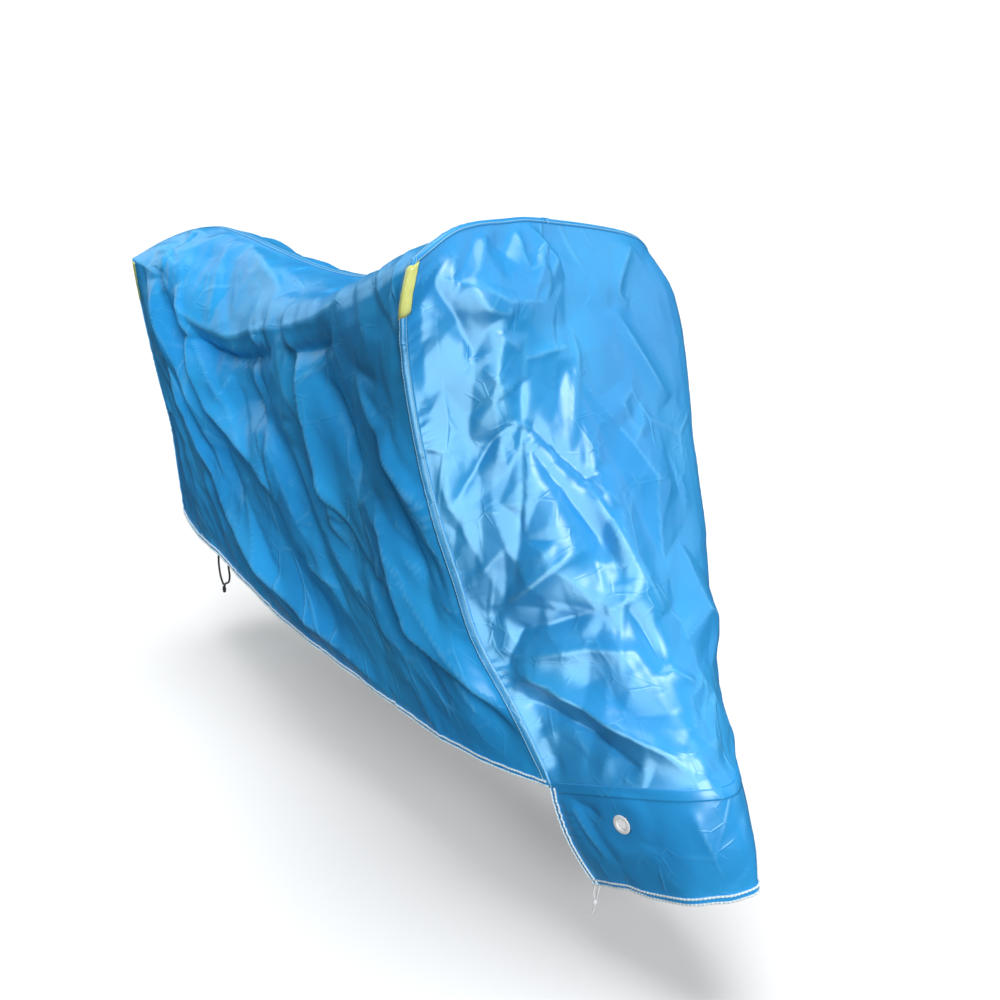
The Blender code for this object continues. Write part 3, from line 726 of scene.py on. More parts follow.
# %% The near side's folds, from the front seam and down from the top
NEAR_FOLDS = folds_from((
    (24, 44, 34, 1.5, (1262, 276), (1227, 349), (1188, 449), (1147, 547), (1071, 618), (957, 711)),
    (-26, 32, 34, 1.6, (1206, 274), (1118, 381), (1016, 464), (966, 577), (869, 681)),
    (28, 38, 34, 1.4, (1149, 226), (1076, 294), (1008, 433), (873, 501), (728, 582), (646, 630)),
    (22, 42, 40, 1.5, (1030, 687), (908, 749), (773, 818), (653, 871), (499, 895), (372, 918)),
    (26, 36, 28, 1.3, (587, 249), (468, 327), (433, 397), (395, 486), (365, 578), (382, 619), (341, 664)),
    (-26, 36, 30, 1.6, (408, 336), (319, 412), (259, 493), (228, 561)),
    (-20, 40, 36, 1.8, (900, 300), (780, 420), (640, 520), (540, 640)),
    (12, 36, 30, 1.4, (1020, 40), (924, 64), (800, 110), (697, 170)),
    (8, 22, 12, 1.1, (1200, 250), (980, 258), (800, 256), (620, 262)),
    (-24, 18, 50, 1.3, (1150, 298), (950, 308), (780, 312), (630, 306)),
    (-16, 85, 85, 2.0, (920, 390), (800, 425), (700, 400)),
    (6, 20, 12, 1.1, (580, 262), (400, 250), (260, 240)),
    (-18, 18, 44, 1.3, (560, 308), (420, 302), (300, 290)),
    (-18, 16, 12, 1.2, (1275, 70), (1268, 130)),
    (9, 10, 8, 1.2, (1250, 170), (1310, 200)),
    (-10, 12, 10, 1.2, (1250, 170), (1190, 190)),
    (8, 10, 8, 1.2, (1250, 170), (1235, 240)),
    (10, 14, 10, 1.2, (766, 259), (710, 296)),
    (-3, 7, 10, 1.1, (214, 263), (213, 367), (248, 477), (252, 700)),
    (-8, 16, 12, 1.3, (207, 350), (116, 378)),
    (6, 10, 10, 1.1, (617, 699), (582, 743)),
    (6, 12, 8, 1.1, (573, 742), (450, 759)),
    (6, 12, 10, 1.1, (208, 644), (261, 731)),
    (-10, 16, 16, 1.4, (52, 279), (24, 329), (18, 382)),
    (14, 30, 20, 1.4, (180, 560), (150, 700), (90, 860)),
    (-12, 30, 24, 1.5, (130, 420), (100, 600), (60, 760)),
))
# %% The far side's folds
FAR_FOLDS = folds_from((
    (14, 50, 42, 1.5, (1240, 280), (1160, 500), (980, 700)),
    (-15, 44, 38, 1.6, (1150, 280), (1000, 480), (860, 680)),
    (14, 50, 40, 1.4, (1030, 300), (860, 520), (700, 720)),
    (12, 44, 34, 1.4, (600, 250), (450, 420), (360, 660)),
    (-12, 44, 34, 1.5, (420, 330), (280, 500), (230, 660)),
    (10, 30, 24, 1.4, (900, 720), (620, 850), (360, 910)),
    (-9, 26, 22, 1.4, (820, 300), (700, 420), (560, 560)),
    (-3, 7, 10, 1.1, (240, 270), (235, 500), (250, 860)),
    (-3, 7, 10, 1.1, (640, 270), (645, 500), (660, 880)),
))
# %% The front panel's folds, from the near seam and down from the ridge
FRONT_FOLDS = folds_from((
    (6, 22, 16, 1.3, (225, 5), (215, 51), (210, 94)),
    (-11, 22, 26, 1.5, (45, 41), (78, 117), (104, 195)),
    (7, 16, 18, 1.2, (98, 79), (125, 128), (165, 147)),
    (5, 12, 12, 1.1, (123, 160), (169, 200)),
    (5, 14, 12, 1.2, (116, 210), (158, 269)),
    (5, 12, 9, 1.1, (135, 240), (145, 297)),
    (5, 10, 10, 1.1, (139, 298), (174, 316)),
    (-7, 12, 16, 1.2, (165, 300), (226, 386), (250, 430)),
    (-8, 14, 16, 1.2, (165, 300), (120, 315), (80, 350), (30, 400)),
    (-3, 8, 6, 1.1, (183, 158), (174, 213), (152, 347), (138, 418), (91, 561)),
    (3, 8, 6, 1.1, (281, 169), (227, 355)),
    (5, 12, 10, 1.2, (175, 213), (256, 206)),
    (-14, 24, 28, 1.5, (164, 339), (207, 430), (240, 510), (251, 563)),
    (13, 26, 30, 1.3, (235, 403), (272, 534), (298, 616)),
    (-15, 22, 26, 1.5, (244, 592), (263, 644), (273, 697)),
    (9, 30, 26, 1.4, (364, 150), (400, 240), (437, 307)),
    (6, 18, 14, 1.3, (463, 34), (391, 117), (405, 146)),
    (12, 26, 32, 1.3, (10, 562), (90, 564), (214, 500)),
    (-12, 28, 28, 1.6, (60, 620), (140, 615), (220, 600)),
    (7, 20, 20, 1.6, (66, 662), (248, 662)),
    (-7, 14, 14, 1.3, (89, 608), (26, 678)),
    (20, 28, 36, 1.2, (45, 677), (150, 763), (225, 816), (246, 862)),
    (-18, 30, 30, 1.5, (14, 727), (131, 808), (182, 845)),
    (5, 12, 12, 1.2, (275, 695), (308, 726)),
))
# %% The bib's folds, from its near corner and down from its seam
BIB_FOLDS = folds_from((
    (-4, 12, 14, 1.3, (29, 10), (118, 68), (174, 94)),
    (3, 10, 12, 1.3, (36, 23), (75, 137)),
    (3, 14, 12, 1.3, (230, 20), (250, 120)),
    (-3, 14, 12, 1.3, (400, 30), (430, 130)),
))

# %% [markdown]
# ## From a grid to a mesh
#
# create_grid makes the faces. Each of its vertices sits on a whole place of a square from -1 to 1,
# so the place tells which point of the panel's grid belongs to it.

# %% A grid as a mesh
def grid_mesh(name, points, flipped):
    """A mesh with one vertex for each point of a grid, and each vertex's place in the grid."""
    rows, columns = points.shape[:2]
    work = bmesh.new()
    bmesh.ops.create_grid(work, x_segments=columns - 1, y_segments=rows - 1, size=1.0)
    order = []
    for vertex in work.verts:
        i = round((vertex.co.x + 1) / 2 * (columns - 1))
        j = round((vertex.co.y + 1) / 2 * (rows - 1))
        order.append(j * columns + i)
    for vertex, spot in zip(work.verts, points.reshape(-1, 3)[order]):
        vertex.co = spot
    if flipped:
        bmesh.ops.reverse_faces(work, faces=work.faces)
    mesh = bpy.data.meshes.new(name)
    work.to_mesh(mesh)
    work.free()
    return mesh, np.array(order)


# %% [markdown]
# Thin coated cloth can bend but hardly stretch, so where it is crushed it breaks into flat facets
# with straight creases between them. Corners are strewn over the flat cloth by a seeded
# generator, each with a height, and a Delaunay mesh joins them. A ray shot down at each point of
# the panel reads the height. Close to a seam the thread has gathered the cloth into puckers.

# %% Facets, soft ridges and puckers
JITTER = 0.48


def ridged(panel, seed, scale, lean):
    """Crumpled noise from -1 to 1 with sharp ridges, longer along the way it leans."""
    turn = math.radians(lean)
    heights = np.zeros(panel.along.shape)
    for (j, i), a in np.ndenumerate(panel.along):
        d = panel.down[j, i]
        across = a * math.cos(turn) - d * math.sin(turn)
        along = a * math.sin(turn) + d * math.cos(turn)
        heights[j, i] = 1 - 2.6 * abs(noise.noise(Vector((across * scale, along * scale * 0.45, seed))))
    return heights


def facets(panel, seed, size, tall, lean, long):
    """Flat facets between straight creases, as on crushed cloth, longer along the way it leans."""
    draw = random.Random(seed)
    turn = math.radians(lean)
    across = (panel.along * math.cos(turn) - panel.down * math.sin(turn)) / size
    along = (panel.along * math.sin(turn) + panel.down * math.cos(turn)) / (size * long)
    corners = []
    for j in range(int(along.min()) - 3, int(along.max()) + 4):
        for i in range(int(across.min()) - 3, int(across.max()) + 4):
            corners.append(Vector((i + draw.uniform(-JITTER, JITTER), j + draw.uniform(-JITTER, JITTER),
                                   draw.gauss(0.0, 1.0))))
    faces = delaunay_2d_cdt([corner.to_2d() for corner in corners], [], [], 0, 0.000001)[2]
    crushed = BVHTree.FromPolygons(corners, faces)
    heights = np.zeros(across.shape)
    for (j, i), a in np.ndenumerate(across):
        heights[j, i] = crushed.ray_cast(Vector((a, along[j, i], 9.0)), Vector((0.0, 0.0, -1.0)))[0].z
    return heights * tall


def wear_and_sheen(panel, cell):
    """Mark the sharpest outward creases as worn; this also paints a highlight along the ridge crests."""
    p = panel.points
    around = p[1:-1, :-2] + p[1:-1, 2:] + p[:-2, 1:-1] + p[2:, 1:-1] - 4 * p[1:-1, 1:-1]
    bend = -(around * panel.normals()[1:-1, 1:-1]).sum(axis=2) / cell
    # Painted highlight along the ridge crests, stored together with the crease wear.
    panel.worn_and_sheen[1:-1, 1:-1] = np.maximum(panel.worn_and_sheen[1:-1, 1:-1], 0.7 * soft_step(bend - 0.15, 0.36))


def pucker(distance, along, seed):
    """The gathers beside a row of stitches."""
    wave = np.sin(along * 290.0 + 3.4 * np.sin(along * 47.0 + seed) + distance * 40.0 + seed)
    swell = 0.5 + 0.5 * np.sin(along * 31.0 + 2 * seed)
    near = np.exp(-distance / 0.022) * (1 - np.exp(-(distance / 0.006) ** 2))
    return wave * swell * near


# %% The five panels
SIDE_LENGTH, CROWN_DROP, SIDE_DROP = 1.40, 0.26, 0.68
FRONT_WIDTH, FRONT_DROP = 0.60, 0.88
REAR_WIDTH, REAR_DROP = 0.36, 0.70
BIB_DROP = 0.20
SEAM_FADE, REAR_FADE = 0.045, 0.110

front_rows = front_lines(FRONT_HALF, FRONT_ROWS)
front = Panel(front_rows, np.linspace(0, FRONT_WIDTH, 2 * FRONT_HALF + 1),
              np.linspace(0, FRONT_DROP, FRONT_ROWS + 1), -1.0)
bib = Panel(bib_lines(front_rows), np.linspace(0, FRONT_WIDTH, 2 * FRONT_HALF + 1),
            np.linspace(0, BIB_DROP, BIB_ROWS + 1), -1.0)
side_down = np.concatenate([np.linspace(0, CROWN_DROP, CROWN_ROWS + 1),
                            CROWN_DROP + np.linspace(0, SIDE_DROP, DROP_ROWS + 1)[1:]])
near = Panel(side_lines(True), np.linspace(0, SIDE_LENGTH, SIDE_CELLS + 1), side_down, 1.0)
far = Panel(side_lines(False), np.linspace(0, SIDE_LENGTH, SIDE_CELLS + 1), side_down, -1.0)
rear = Panel(rear_lines(REAR_HALF, REAR_ROWS), np.linspace(0, REAR_WIDTH, 2 * REAR_HALF + 1),
             np.linspace(0, REAR_DROP, REAR_ROWS + 1), 1.0)
print("near panel faces", np.round(near.normals()[::40, ::40].mean(axis=(0, 1)), 2))

# %% Fold each panel

# How much all placed folds are raised, and how much narrower they are than in the tables.
FOLD_GAIN, SIDE_NARROW, FRONT_NARROW = 1.2, 0.8, 0.7
# About the size of one cell, which makes a curvature out of a bend.
SIDE_CELL, FRONT_CELL = 0.0058, 0.0037
# Rows of facets: size, height, turn in degrees, length by width. The front's heights are shares.
SIDE_FACETS = ((0.056, 0.0090, 0.0, 6.0), (0.050, 0.0036, 18.0, 1.9), (0.026, 0.0012, -30.0, 1.5))
FRONT_FACETS = ((0.062, 1.0, 12.0, 1.6), (0.030, 0.40, -25.0, 1.5), (0.130, 0.5, 5.0, 2.2))


def crush(heights, panel, seed, lean, tall, shares, rows):
    """Heights with rows of facets added, each with its own share over the panel."""
    for k, (share, (size, rise, turn, long)) in enumerate(zip(shares, rows)):
        heights = heights + share * facets(panel, seed + k, size, tall * rise, lean + turn, long)
    return heights


def fold_side(panel, folds, seed, lean):
    """Placed folds, then facets that are calmer on the crown and near the hem, then puckers."""
    fade = soft_step(panel.along, SEAM_FADE) * soft_step(SIDE_LENGTH - panel.along, REAR_FADE)
    fade = fade * soft_step(panel.down, SEAM_FADE)
    to_hem = CROWN_DROP + SIDE_DROP - panel.down
    heights = fold_heights(panel, folds, SIDE_NARROW) * FOLD_GAIN
    hanging = soft_step(panel.down - 0.20, 0.14)
    calm = 0.25 + 0.75 * soft_step(to_hem, 0.16)
    shares = ((0.3 + 0.7 * hanging) * calm, calm, 0.8)
    panel.lift(crush(heights, panel, seed, lean, 1.0, shares, SIDE_FACETS) * fade)
    # Soft ridges, then the gathers at the front seam, the rear seam and the hem.
    heights = 0.0005 * ridged(panel, seed, 14.0, lean) * fade
    heights += 0.0018 * pucker(panel.along, panel.down, seed)
    heights += 0.0016 * pucker(SIDE_LENGTH - panel.along, panel.down, seed + 1)
    heights += 0.0010 * pucker(to_hem, panel.along, seed + 2)
    panel.lift(heights)
    wear_and_sheen(panel, SIDE_CELL)


def fold_front(panel, folds, seed, width, height, tall):
    """Placed folds, then facets that are strongest on the near half, then puckers."""
    edge = np.minimum(panel.along, width - panel.along)
    fade = soft_step(edge, SEAM_FADE * 0.7) * soft_step(panel.down, SEAM_FADE)
    if height > BIB_DROP:
        fade = fade * soft_step(height - panel.down, SEAM_FADE)
    crushed = 1.0 - 0.75 * soft_step(panel.along - width * 0.42 - 0.20 * panel.down, width * 0.2)
    heights = fold_heights(panel, folds, FRONT_NARROW) * FOLD_GAIN
    shares = (crushed, crushed, soft_step(width - panel.along, 0.16))
    panel.lift(crush(heights, panel, seed, 0.0, tall, shares, FRONT_FACETS) * fade)
    # Soft ridges, then the gathers at both side seams.
    heights = 0.0004 * ridged(panel, seed, 18.0, 10.0) * fade
    heights += 0.0015 * pucker(edge, panel.down, seed)
    panel.lift(heights)
    wear_and_sheen(panel, FRONT_CELL)


fold_side(near, NEAR_FOLDS, 11, -42.0)
fold_side(far, FAR_FOLDS, 23, -40.0)
fold_front(front, FRONT_FOLDS, 31, FRONT_WIDTH, FRONT_DROP, 0.0062)
fold_front(bib, BIB_FOLDS, 47, FRONT_WIDTH, BIB_DROP, 0.0020)
fold_front(rear, (), 53, REAR_WIDTH, REAR_DROP, 0.0040)
print("cloth areas:", [round(p.area(), 3) for p in (near, far, front, bib, rear)])

# %% [markdown]
# ## The eyelets' seats
#
# A stiff eyelet is clamped on the bib, so the cloth lies flat under it, and folds only further
# out. The seat is found on the bib's own grid, and the points near it are pressed onto its plane.

# %% Flatten the cloth under the eyelets
low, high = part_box("eyelet_near")
EYELET_NEAR = (Vector(low) + Vector(high)) / 2
EYELET_OUT = Vector((0.203, -0.979, -0.029)).normalized()
EYELET_FLAT, EYELET_BLEND = 0.026, 0.060
EYELET_CUT = 0.0115


def press_flat(panel, spot, outward):
    """Press the cloth onto a plane round a spot, and say how far each point is from it."""
    offset = panel.points - np.array(spot)
    gone = offset @ np.array(outward)
    flat = offset - gone[..., None] * np.array(outward)
    reach = np.linalg.norm(flat, axis=2)
    ease = soft_step(reach - EYELET_FLAT, EYELET_BLEND - EYELET_FLAT)
    close = (np.abs(gone) < EYELET_BLEND)
    moved = np.where(close, gone * (1 - ease), 0.0)
    moved[0] = 0.0
    panel.points = panel.points - moved[..., None] * np.array(outward)
    return np.where(close, reach, 1.0)


seat_near = press_flat(bib, EYELET_NEAR, EYELET_OUT)
seat_far = press_flat(bib, flip(EYELET_NEAR), flip(EYELET_OUT))
print("points under the eyelets:", int((seat_near < 0.021).sum()), int((seat_far < 0.021).sum()))

# %% [markdown]
# ## From grid to cloth
#
# Solidify gives the cloth its thickness to both sides. The places and the mark of crease wear and
# painted ridge highlight are written as point attributes, which the material reads.

# %% Make a sheet of cloth
def write_attributes(mesh, along, down, worn_and_sheen):
    place = mesh.attributes.new("cloth", "FLOAT_VECTOR", "POINT")
    flat = np.stack([along, down, np.zeros_like(along)], axis=-1)
    place.data.foreach_set("vector", flat.reshape(-1).astype(np.float32))
    # Crease wear and a painted highlight along the sharpest ridges.
    mark = mesh.attributes.new("worn_and_sheen", "FLOAT", "POINT")
    mark.data.foreach_set("value", worn_and_sheen.reshape(-1).astype(np.float32))


def cloth_piece(name, panel, material, slot, thickness, cut=None):
    """A closed thin piece on a panel's grid; `cut` marks the cells to leave out."""
    mesh, order = grid_mesh(name, panel.points, panel.out > 0)
    write_attributes(mesh, panel.along.reshape(-1)[order], panel.down.reshape(-1)[order],
                     panel.worn_and_sheen.reshape(-1)[order])
    if cut is not None:
        work = bmesh.new()
        work.from_mesh(mesh)
        work.verts.ensure_lookup_table()
        gone = [v for v, k in zip(work.verts, order) if cut.reshape(-1)[k]]
        bmesh.ops.delete(work, geom=gone, context="VERTS")
        work.to_mesh(mesh)
        work.free()
    mesh.shade_smooth()
    mesh.materials.append(material)
    piece = add_piece(name, mesh, slot)
    thicken = piece.modifiers.new("thickness", "SOLIDIFY")
    thicken.thickness = thickness
    thicken.offset = 0.0
    print(name, "has", len(mesh.polygons), "faces")
    return piece


# %% Sheets of the cover
FRONT_FINISH = (CLOTH_FRONT, "coated_cloth")
SIDE_FINISH = (CLOTH_SIDE, "coated_cloth_side")
near_cloth = cloth_piece("near_side_cloth", near, *SIDE_FINISH, CLOTH)
far_cloth = cloth_piece("far_side_cloth", far, *SIDE_FINISH, CLOTH)
front_cloth = cloth_piece("front_cloth", front, *FRONT_FINISH, CLOTH)
rear_cloth = cloth_piece("rear_cloth", rear, *SIDE_FINISH, CLOTH)
holes = (seat_near < EYELET_CUT) | (seat_far < EYELET_CUT)
bib_cloth = cloth_piece("bib_cloth", bib, *FRONT_FINISH, CLOTH, holes)
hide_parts("side_near")
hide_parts("side_far")
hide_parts("front_panel")
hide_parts("rear_panel")
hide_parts("front_bib")

# %% [markdown]
# ## Seams, hems and tapes
#
# A seam is two panels joined under a narrow fold of cloth, and a hem is the edge turned up and
# sewn down. Both are bands that lie on the cloth. A band is made from stations: at each one, a
# short line of points is picked off the panel by its distance from the edge, and lifted a
# little. The same stations carry the tapes and the rows of stitches.

# %% Stations on a panel
# How many points in from an edge a band may reach.
BAND_POINTS = 14


def walk_in(line, reach):
    """The point at a distance along a line of points, and its fractional place."""
    steps = np.linalg.norm(np.diff(line, axis=0), axis=1)
    gone = np.concatenate([[0.0], np.cumsum(steps)])
    k = int(np.clip(np.searchsorted(gone, reach) - 1, 0, len(steps) - 1))
    t = (reach - gone[k]) / max(steps[k], 1e-9)
    return line[k] + (line[k + 1] - line[k]) * t, k + t


def edge_points(panel, edge, picks, reach):
    """Points and outward directions at a distance from one edge of a panel."""
    grid, normal = panel.points, panel.normals()
    if edge in ("top", "bottom"):
        grid, normal = grid.swapaxes(0, 1), normal.swapaxes(0, 1)
    if edge in ("right", "bottom"):
        grid, normal = grid[:, ::-1], normal[:, ::-1]
    spots, outs = [], []
    for k in picks:
        spot, at = walk_in(grid[k, :BAND_POINTS], reach)
        spots.append(spot)
        outs.append(normal[k, min(int(at), BAND_POINTS - 1)])
    return np.array(spots), np.array(outs)


def band_panel(strips, lift, across):
    """Lay lines of points side by side as a panel of its own, lifted off the cloth."""
    rows = np.stack([spots + outs * lift for spots, outs in strips], axis=1)
    runs = np.linalg.norm(np.diff(rows[:, rows.shape[1] // 2], axis=0), axis=1)
    down = np.concatenate([[0.0], np.cumsum(runs)])
    made = Panel.__new__(Panel)
    made.points = rows
    made.along = np.broadcast_to(np.asarray(across)[None, :], rows.shape[:2]).copy()
    made.down = np.broadcast_to(down[:, None], rows.shape[:2]).copy()
    made.worn_and_sheen = np.zeros(rows.shape[:2])
    made.out = 1.0
    outs = np.stack([outs for _, outs in strips], axis=1)
    if (made.normals() * outs).sum() < 0:
        made.out = -1.0
    return made


def seam_strips(one, edge_one, picks_one, two, edge_two, picks_two, reaches, shift=0.0):
    """Lines of points across a seam, from one panel over the seam into the other."""
    left = [edge_points(one, edge_one, picks_one, reach * (1 + shift)) for reach in reversed(reaches)]
    right = [edge_points(two, edge_two, picks_two, reach * (1 - shift)) for reach in reaches]
    middle = (left[-1][0] + right[0][0]) / 2
    outs = left[-1][1] + right[0][1]
    outs /= np.linalg.norm(outs, axis=1, keepdims=True)
    return left + [(middle, outs)] + right


# %% [markdown]
# A stitch shows as a short arch of thread between two needle holes. One curve object holds a whole
# row of them: each stitch is a spline of five points, thin at its two ends, and the curve's bevel
# turns it round. That is quicker than hundreds of small spheres, and lighter.

# %% Rows of stitches
STITCH, STITCH_GAP = 0.0055, 0.0004
SEAM_THREAD, HEM_THREAD = 0.00070, 0.00175
# Points of a stitch: share of its length, rise and width, both as shares of the thread.
STITCH_SHAPE = ((0.0, 0.1, 0.70), (0.22, 0.45, 0.95), (0.5, 0.6, 1.0), (0.78, 0.45, 0.95),
                (1.0, 0.1, 0.70))


def stitch_curve(name, rows, material, thick):
    """A curve with one spline for each stitch of rows of (points, outward directions)."""
    curve = round_curve(name, thick, 1)
    for spots, outs in rows:
        steps = np.linalg.norm(np.diff(spots, axis=0), axis=1)
        gone = np.concatenate([[0.0], np.cumsum(steps)])
        for n in range(int(gone[-1] / (STITCH + STITCH_GAP))):
            thread = curve.splines.new("POLY")
            thread.points.add(len(STITCH_SHAPE) - 1)
            for knot_point, (share, rise, width) in zip(thread.points, STITCH_SHAPE):
                reach = n * (STITCH + STITCH_GAP) + share * STITCH
                k = int(np.clip(np.searchsorted(gone, reach) - 1, 0, len(steps) - 1))
                t = (reach - gone[k]) / max(steps[k], 1e-9)
                at = spots[k] + (spots[k + 1] - spots[k]) * t + outs[k] * thick * rise
                knot_point.co = (*at, 1.0)
                knot_point.radius = width
    curve.materials.append(material)
    print(name, "has", len(curve.splines), "stitches")
    return add_piece(name, curve, "white_cord")


SEAM_REACHES = (0.0020, 0.0056, 0.0084)
SEAM_THICK, SEAM_LIFT = 0.0008, 0.0011
HEM_REACHES = (-0.0006, 0.0018, 0.0062, 0.0106, 0.0130)
bands, threads = {}, {}


def mirrored(reaches):
    """Distances from a seam on both of its sides, and 0 on the seam."""
    return tuple(-reach for reach in reversed(reaches)) + (0.0,) + reaches


def raised(panel, lines, thick):
    """Lines of a band's own grid on its face, with their outward directions."""
    normal = panel.normals()
    return [(panel.points[:, line] + normal[:, line] * thick / 2, normal[:, line]) for line in lines]


def sew(name, strips, lines, across, finish, thread, thread_size):
    """A band on the cloth, and rows of stitches on some of its lines."""
    panel = band_panel(strips, SEAM_LIFT, across)
    bands[name] = cloth_piece(name, panel, *finish, SEAM_THICK)
    if lines:
        rows = raised(panel, lines, SEAM_THICK)
        threads[name] = stitch_curve(name + "_thread", rows, thread, thread_size)


def seam(name, one, edge_one, picks_one, two, edge_two, picks_two, finish, lines=(1, 5)):
    strips = seam_strips(one, edge_one, picks_one, two, edge_two, picks_two, SEAM_REACHES)
    sew(name, strips, lines, mirrored(SEAM_REACHES), finish, THREAD_SEAM, SEAM_THREAD)


def hem(name, panel, finish, edge="bottom"):
    picks = range(panel.points.shape[1 if edge == "bottom" else 0])
    strips = [edge_points(panel, edge, picks, reach) for reach in HEM_REACHES]
    sew(name, strips, (1, 3), HEM_REACHES, finish, THREAD_HEM, HEM_THREAD)


side_picks = range(CROWN_ROWS, CROWN_ROWS + DROP_ROWS + 1)
front_picks = range(0, FRONT_ROWS + 1, 2)
rear_picks = range(0, REAR_ROWS + 1)
top_picks = range(SIDE_CELLS + 1)
bib_picks = range(2 * FRONT_HALF + 1)
seam("front_near_seam", near, "left", side_picks, front, "left", front_picks, FRONT_FINISH)
seam("front_far_seam", far, "left", side_picks, front, "right", front_picks, FRONT_FINISH)
seam("rear_near_seam", near, "right", side_picks, rear, "left", rear_picks, SIDE_FINISH)
seam("rear_far_seam", far, "right", side_picks, rear, "right", rear_picks, SIDE_FINISH)
seam("top_seam", near, "top", top_picks, far, "top", top_picks, SIDE_FINISH)
seam("bib_seam", front, "bottom", bib_picks, bib, "top", bib_picks, FRONT_FINISH, ())
hem("near_hem", near, SIDE_FINISH)
hem("far_hem", far, SIDE_FINISH)
hem("bib_hem", bib, FRONT_FINISH)
hem("bib_near_edge", bib, FRONT_FINISH, "left")
hem("bib_far_edge", bib, FRONT_FINISH, "right")
hem("rear_hem", rear, SIDE_FINISH)

# %% [markdown]
# The ridge seam joins the front panel's top edge to the crowns of both sides.

# %% The ridge seams
ridge_rows = range(0, CROWN_ROWS + 1)
near_columns = range(FRONT_HALF, -1, -2)
far_columns = range(FRONT_HALF, 2 * FRONT_HALF + 1, 2)
seam("ridge_near_seam", near, "left", ridge_rows, front, "top", near_columns, FRONT_FINISH)
seam("ridge_far_seam", far, "left", ridge_rows, front, "top", far_columns, FRONT_FINISH)

# %% The reflective tapes
TAPE_REACHES = (0.0008, 0.0022, 0.0048, 0.0078, 0.0108, 0.0135)
TAPE_THICK, TAPE_LIFT = 0.0009, 0.0022
TAPE_START, FRONT_TAPE_ROWS, REAR_TAPE_ROWS = 1, 11, 18


def tape(name, node, side, edge, panel, panel_edge, step, rows, shift):
    picks = list(range(CROWN_ROWS + TAPE_START, CROWN_ROWS + TAPE_START + rows))
    others = list(range(step * TAPE_START, step * (TAPE_START + rows), step))
    strips = seam_strips(side, edge, picks, panel, panel_edge, others, TAPE_REACHES, shift)
    groove = band_panel(strips, TAPE_LIFT, mirrored(TAPE_REACHES))
    groove.lift(-0.0011 * np.exp(-(groove.along / 0.0016) ** 2))
    piece = cloth_piece(name, groove, TAPE, "reflective_tape", TAPE_THICK)
    rows_of_thread = stitch_curve(name + "_thread", raised(groove, (5, 7), TAPE_THICK), TAPE,
                                  SEAM_THREAD * 0.6)
    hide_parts(node)
    return piece, rows_of_thread


tapes = [
    tape("front_near_tape", "strip_front_near", near, "left", front, "left", 2, FRONT_TAPE_ROWS, 0.0),
    tape("front_far_tape", "strip_front_far", far, "left", front, "right", 2, FRONT_TAPE_ROWS, 0.0),
    tape("rear_near_tape", "strip_rear_near", near, "right", rear, "left", 1, REAR_TAPE_ROWS, 0.7),
    tape("rear_far_tape", "strip_rear_far", far, "right", rear, "right", 1, REAR_TAPE_ROWS, 0.7),
]

# %% [markdown]
# ## The eyelets
#
# Each eyelet is two moulded rings, clamped through the cloth. The outer ring has a rounded rim
# and a shallow dish towards the hole. A spin of one closed profile makes both rings and the
# barrel in a single shell.

# %% Turn the eyelets
EYELET_HOLE, EYELET_RIM, EYELET_FLANGE, EYELET_WALL = 0.0082, 0.0148, 0.0014, 0.0018


def eyelet_profile():
    inner = CLOTH / 2 + FIT
    outer = inner + EYELET_FLANGE
    barrel = EYELET_HOLE + EYELET_WALL
    face = [(EYELET_HOLE, outer - 0.0012), (EYELET_HOLE + 0.0004, outer - 0.0004)]
    face += [(EYELET_HOLE + 0.0010, outer), (EYELET_HOLE + 0.0018, outer + 0.0001)]
    face += [(EYELET_HOLE + 0.0030, outer - 0.0003), (EYELET_RIM - 0.0024, outer - 0.0001)]
    face += [(EYELET_RIM - 0.0012, outer - 0.0002), (EYELET_RIM - 0.0004, outer - 0.0007)]
    face += [(EYELET_RIM, inner + 0.0003), (EYELET_RIM - 0.0002, inner), (barrel, inner), (barrel, -inner)]
    face += [(EYELET_RIM - 0.003, -inner), (EYELET_RIM - 0.003, -outer + 0.0005)]
    face += [(EYELET_RIM - 0.0036, -outer), (EYELET_HOLE + 0.0006, -outer), (EYELET_HOLE, -outer + 0.0005)]
    return face


eyelets = []
for name, node, spot, outward in (("near_eyelet_ring", "eyelet_near", EYELET_NEAR, EYELET_OUT),
                                  ("far_eyelet_ring", "eyelet_far", flip(EYELET_NEAR), flip(EYELET_OUT))):
    place = Matrix.Translation(spot) @ outward.to_track_quat("Z", "Y").to_matrix().to_4x4()
    ring = link_mesh(name, turned(eyelet_profile(), 72, place), EYELET_WHITE, "eyelet_plastic", 40.0)
    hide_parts(node)
    eyelets.append(ring)
print("eyelets:", [ring.name for ring in eyelets])

# %% [markdown]
# ## The sheets' sizes
#
# For each sheet, the size that it was cut to and its area are printed. The areas come from the
# panels' own grids, which were measured above.

def sewn(*names):
    """The bands with these names, and their rows of stitches."""
    return [made[name] for name in names for made in (bands, threads) if name in made]


def declare(piece, panel, flat, with_names):
    area = min(panel.area(), flat[0] * flat[1])
    print(piece.name, "was cut from", flat, "and is", round(area, 3), "square metres")


declare(near_cloth, near, (1.48, 1.00),
        sewn("near_hem", "top_seam", "front_near_seam", "rear_near_seam") + [*tapes[0], *tapes[2]])
declare(far_cloth, far, (1.48, 1.00),
        sewn("far_hem", "front_far_seam", "rear_far_seam") + [*tapes[1], *tapes[3]])
declare(front_cloth, front, (0.80, 0.92), sewn("ridge_near_seam", "ridge_far_seam"))
declare(rear_cloth, rear, (0.40, 0.74), sewn("rear_hem"))
declare(bib_cloth, bib, (0.64, 0.30),
        sewn("bib_hem", "bib_seam", "bib_near_edge", "bib_far_edge") + eyelets)
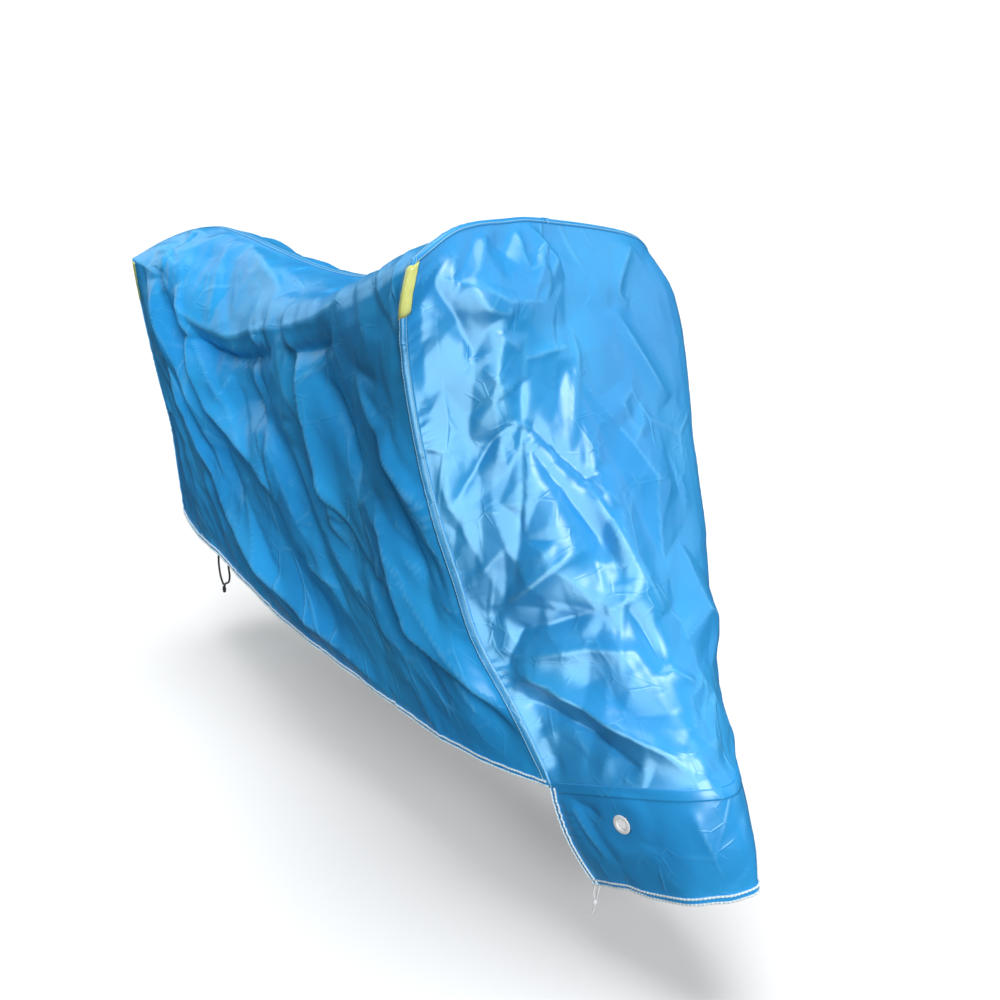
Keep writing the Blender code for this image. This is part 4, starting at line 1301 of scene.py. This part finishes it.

# %% [markdown]
# ## Floor and light
#
# The floor is a plain pale plane, no part of the cover. Soft suns
# stand in for large studio lamps. The key comes from the front, so the front panel is bright and
# the near side falls into shade. The top and rim lights find the crown and the rear edge. The low
# light only shows as a sheen on the front panel, whose lower half faces a little downward.
# Two lights reach the floor alone, and only one of them casts the cover's soft shadow.

# %% Floor
FLOOR_Z = -HELD_AT.z
floor_work = bmesh.new()
bmesh.ops.create_grid(floor_work, x_segments=1, y_segments=1, size=30.0)
bmesh.ops.translate(floor_work, vec=(0.0, 0.0, FLOOR_Z), verts=floor_work.verts)
floor_mesh = bpy.data.meshes.new("floor")
floor_work.to_mesh(floor_mesh)
floor_work.free()
pale = Finish("pale_floor", Roughness=0.9)
pale.set("Base Color", (0.60, 0.60, 0.605, 1.0))
floor_mesh.materials.append(pale.material)
floor = bpy.data.objects.new("floor", floor_mesh)
bpy.context.collection.objects.link(floor)

# %% Lights
def soft_sun(name, from_direction, power, softness, colour=(1.0, 1.0, 1.0)):
    """Even light from one direction; a large angle gives soft shadows."""
    lamp = bpy.data.lights.new(name, "SUN")
    lamp.color = colour
    lamp.energy = power
    lamp.angle = math.radians(softness)
    light = bpy.data.objects.new(name, lamp)
    light.rotation_mode = "QUATERNION"
    light.rotation_quaternion = (-Vector(from_direction)).to_track_quat("-Z", "Y")
    bpy.context.collection.objects.link(light)
    return light


soft_sun("key_light", (0.83, -0.34, 0.44), 2.7, 26.0)
soft_sun("far_light", (0.45, 0.78, 0.42), 0.6, 60.0)
soft_sun("top_light", (-0.10, 0.05, 1.0), 2.1, 44.0)
soft_sun("rim_light", (-0.87, -0.15, 0.47), 0.75, 50.0, (0.80, 1.0, 1.0))
low_light = soft_sun("low_light", (0.64, -0.70, -0.26), 6.8, 76.0, (0.82, 1.0, 0.96))
low_light.visible_diffuse = False
front_only = bpy.data.collections.new("lit_by_low_light")
for piece in (front_cloth, bands["front_near_seam"], bands["ridge_near_seam"], bands["ridge_far_seam"]):
    front_only.objects.link(piece)
low_light.light_linking.receiver_collection = front_only
floor_only = bpy.data.collections.new("lit_by_floor_light")
floor_only.objects.link(floor)
for name, power, shadow in (("floor_light", 1.15, False), ("floor_shade", 0.65, True)):
    floor_light = soft_sun(name, (0.0, 0.0, 1.0), power, 36.0)
    floor_light.data.use_shadow = shadow
    floor_light.light_linking.receiver_collection = floor_only
floor.visible_diffuse = False
floor.visible_glossy = False
floor.visible_shadow = False
# How bright the sky is in the cloth's shade, behind the cover, and as a reflection.
SKY_FILL, SKY_SEEN, SKY_GLOSS = 0.14, 1.05, 0.05
world = bpy.data.worlds.new("studio")
world.use_nodes = True
sky = world.node_tree.nodes["Background"]
sky.inputs["Color"].default_value = (0.97, 0.985, 1.0, 1.0)
seen = world.node_tree.nodes.new("ShaderNodeLightPath")
share = world.node_tree.nodes.new("ShaderNodeMapRange")
share.inputs["To Min"].default_value = SKY_FILL
share.inputs["To Max"].default_value = SKY_SEEN
gleam = world.node_tree.nodes.new("ShaderNodeMapRange")
gleam.inputs["To Max"].default_value = SKY_GLOSS
world.node_tree.links.new(seen.outputs["Is Camera Ray"], share.inputs["Value"])
world.node_tree.links.new(share.outputs["Result"], gleam.inputs["To Min"])
world.node_tree.links.new(seen.outputs["Is Glossy Ray"], gleam.inputs["Value"])
world.node_tree.links.new(gleam.outputs["Result"], sky.inputs["Strength"])
bpy.context.scene.world = world
bpy.context.scene.view_settings.view_transform = "Standard"
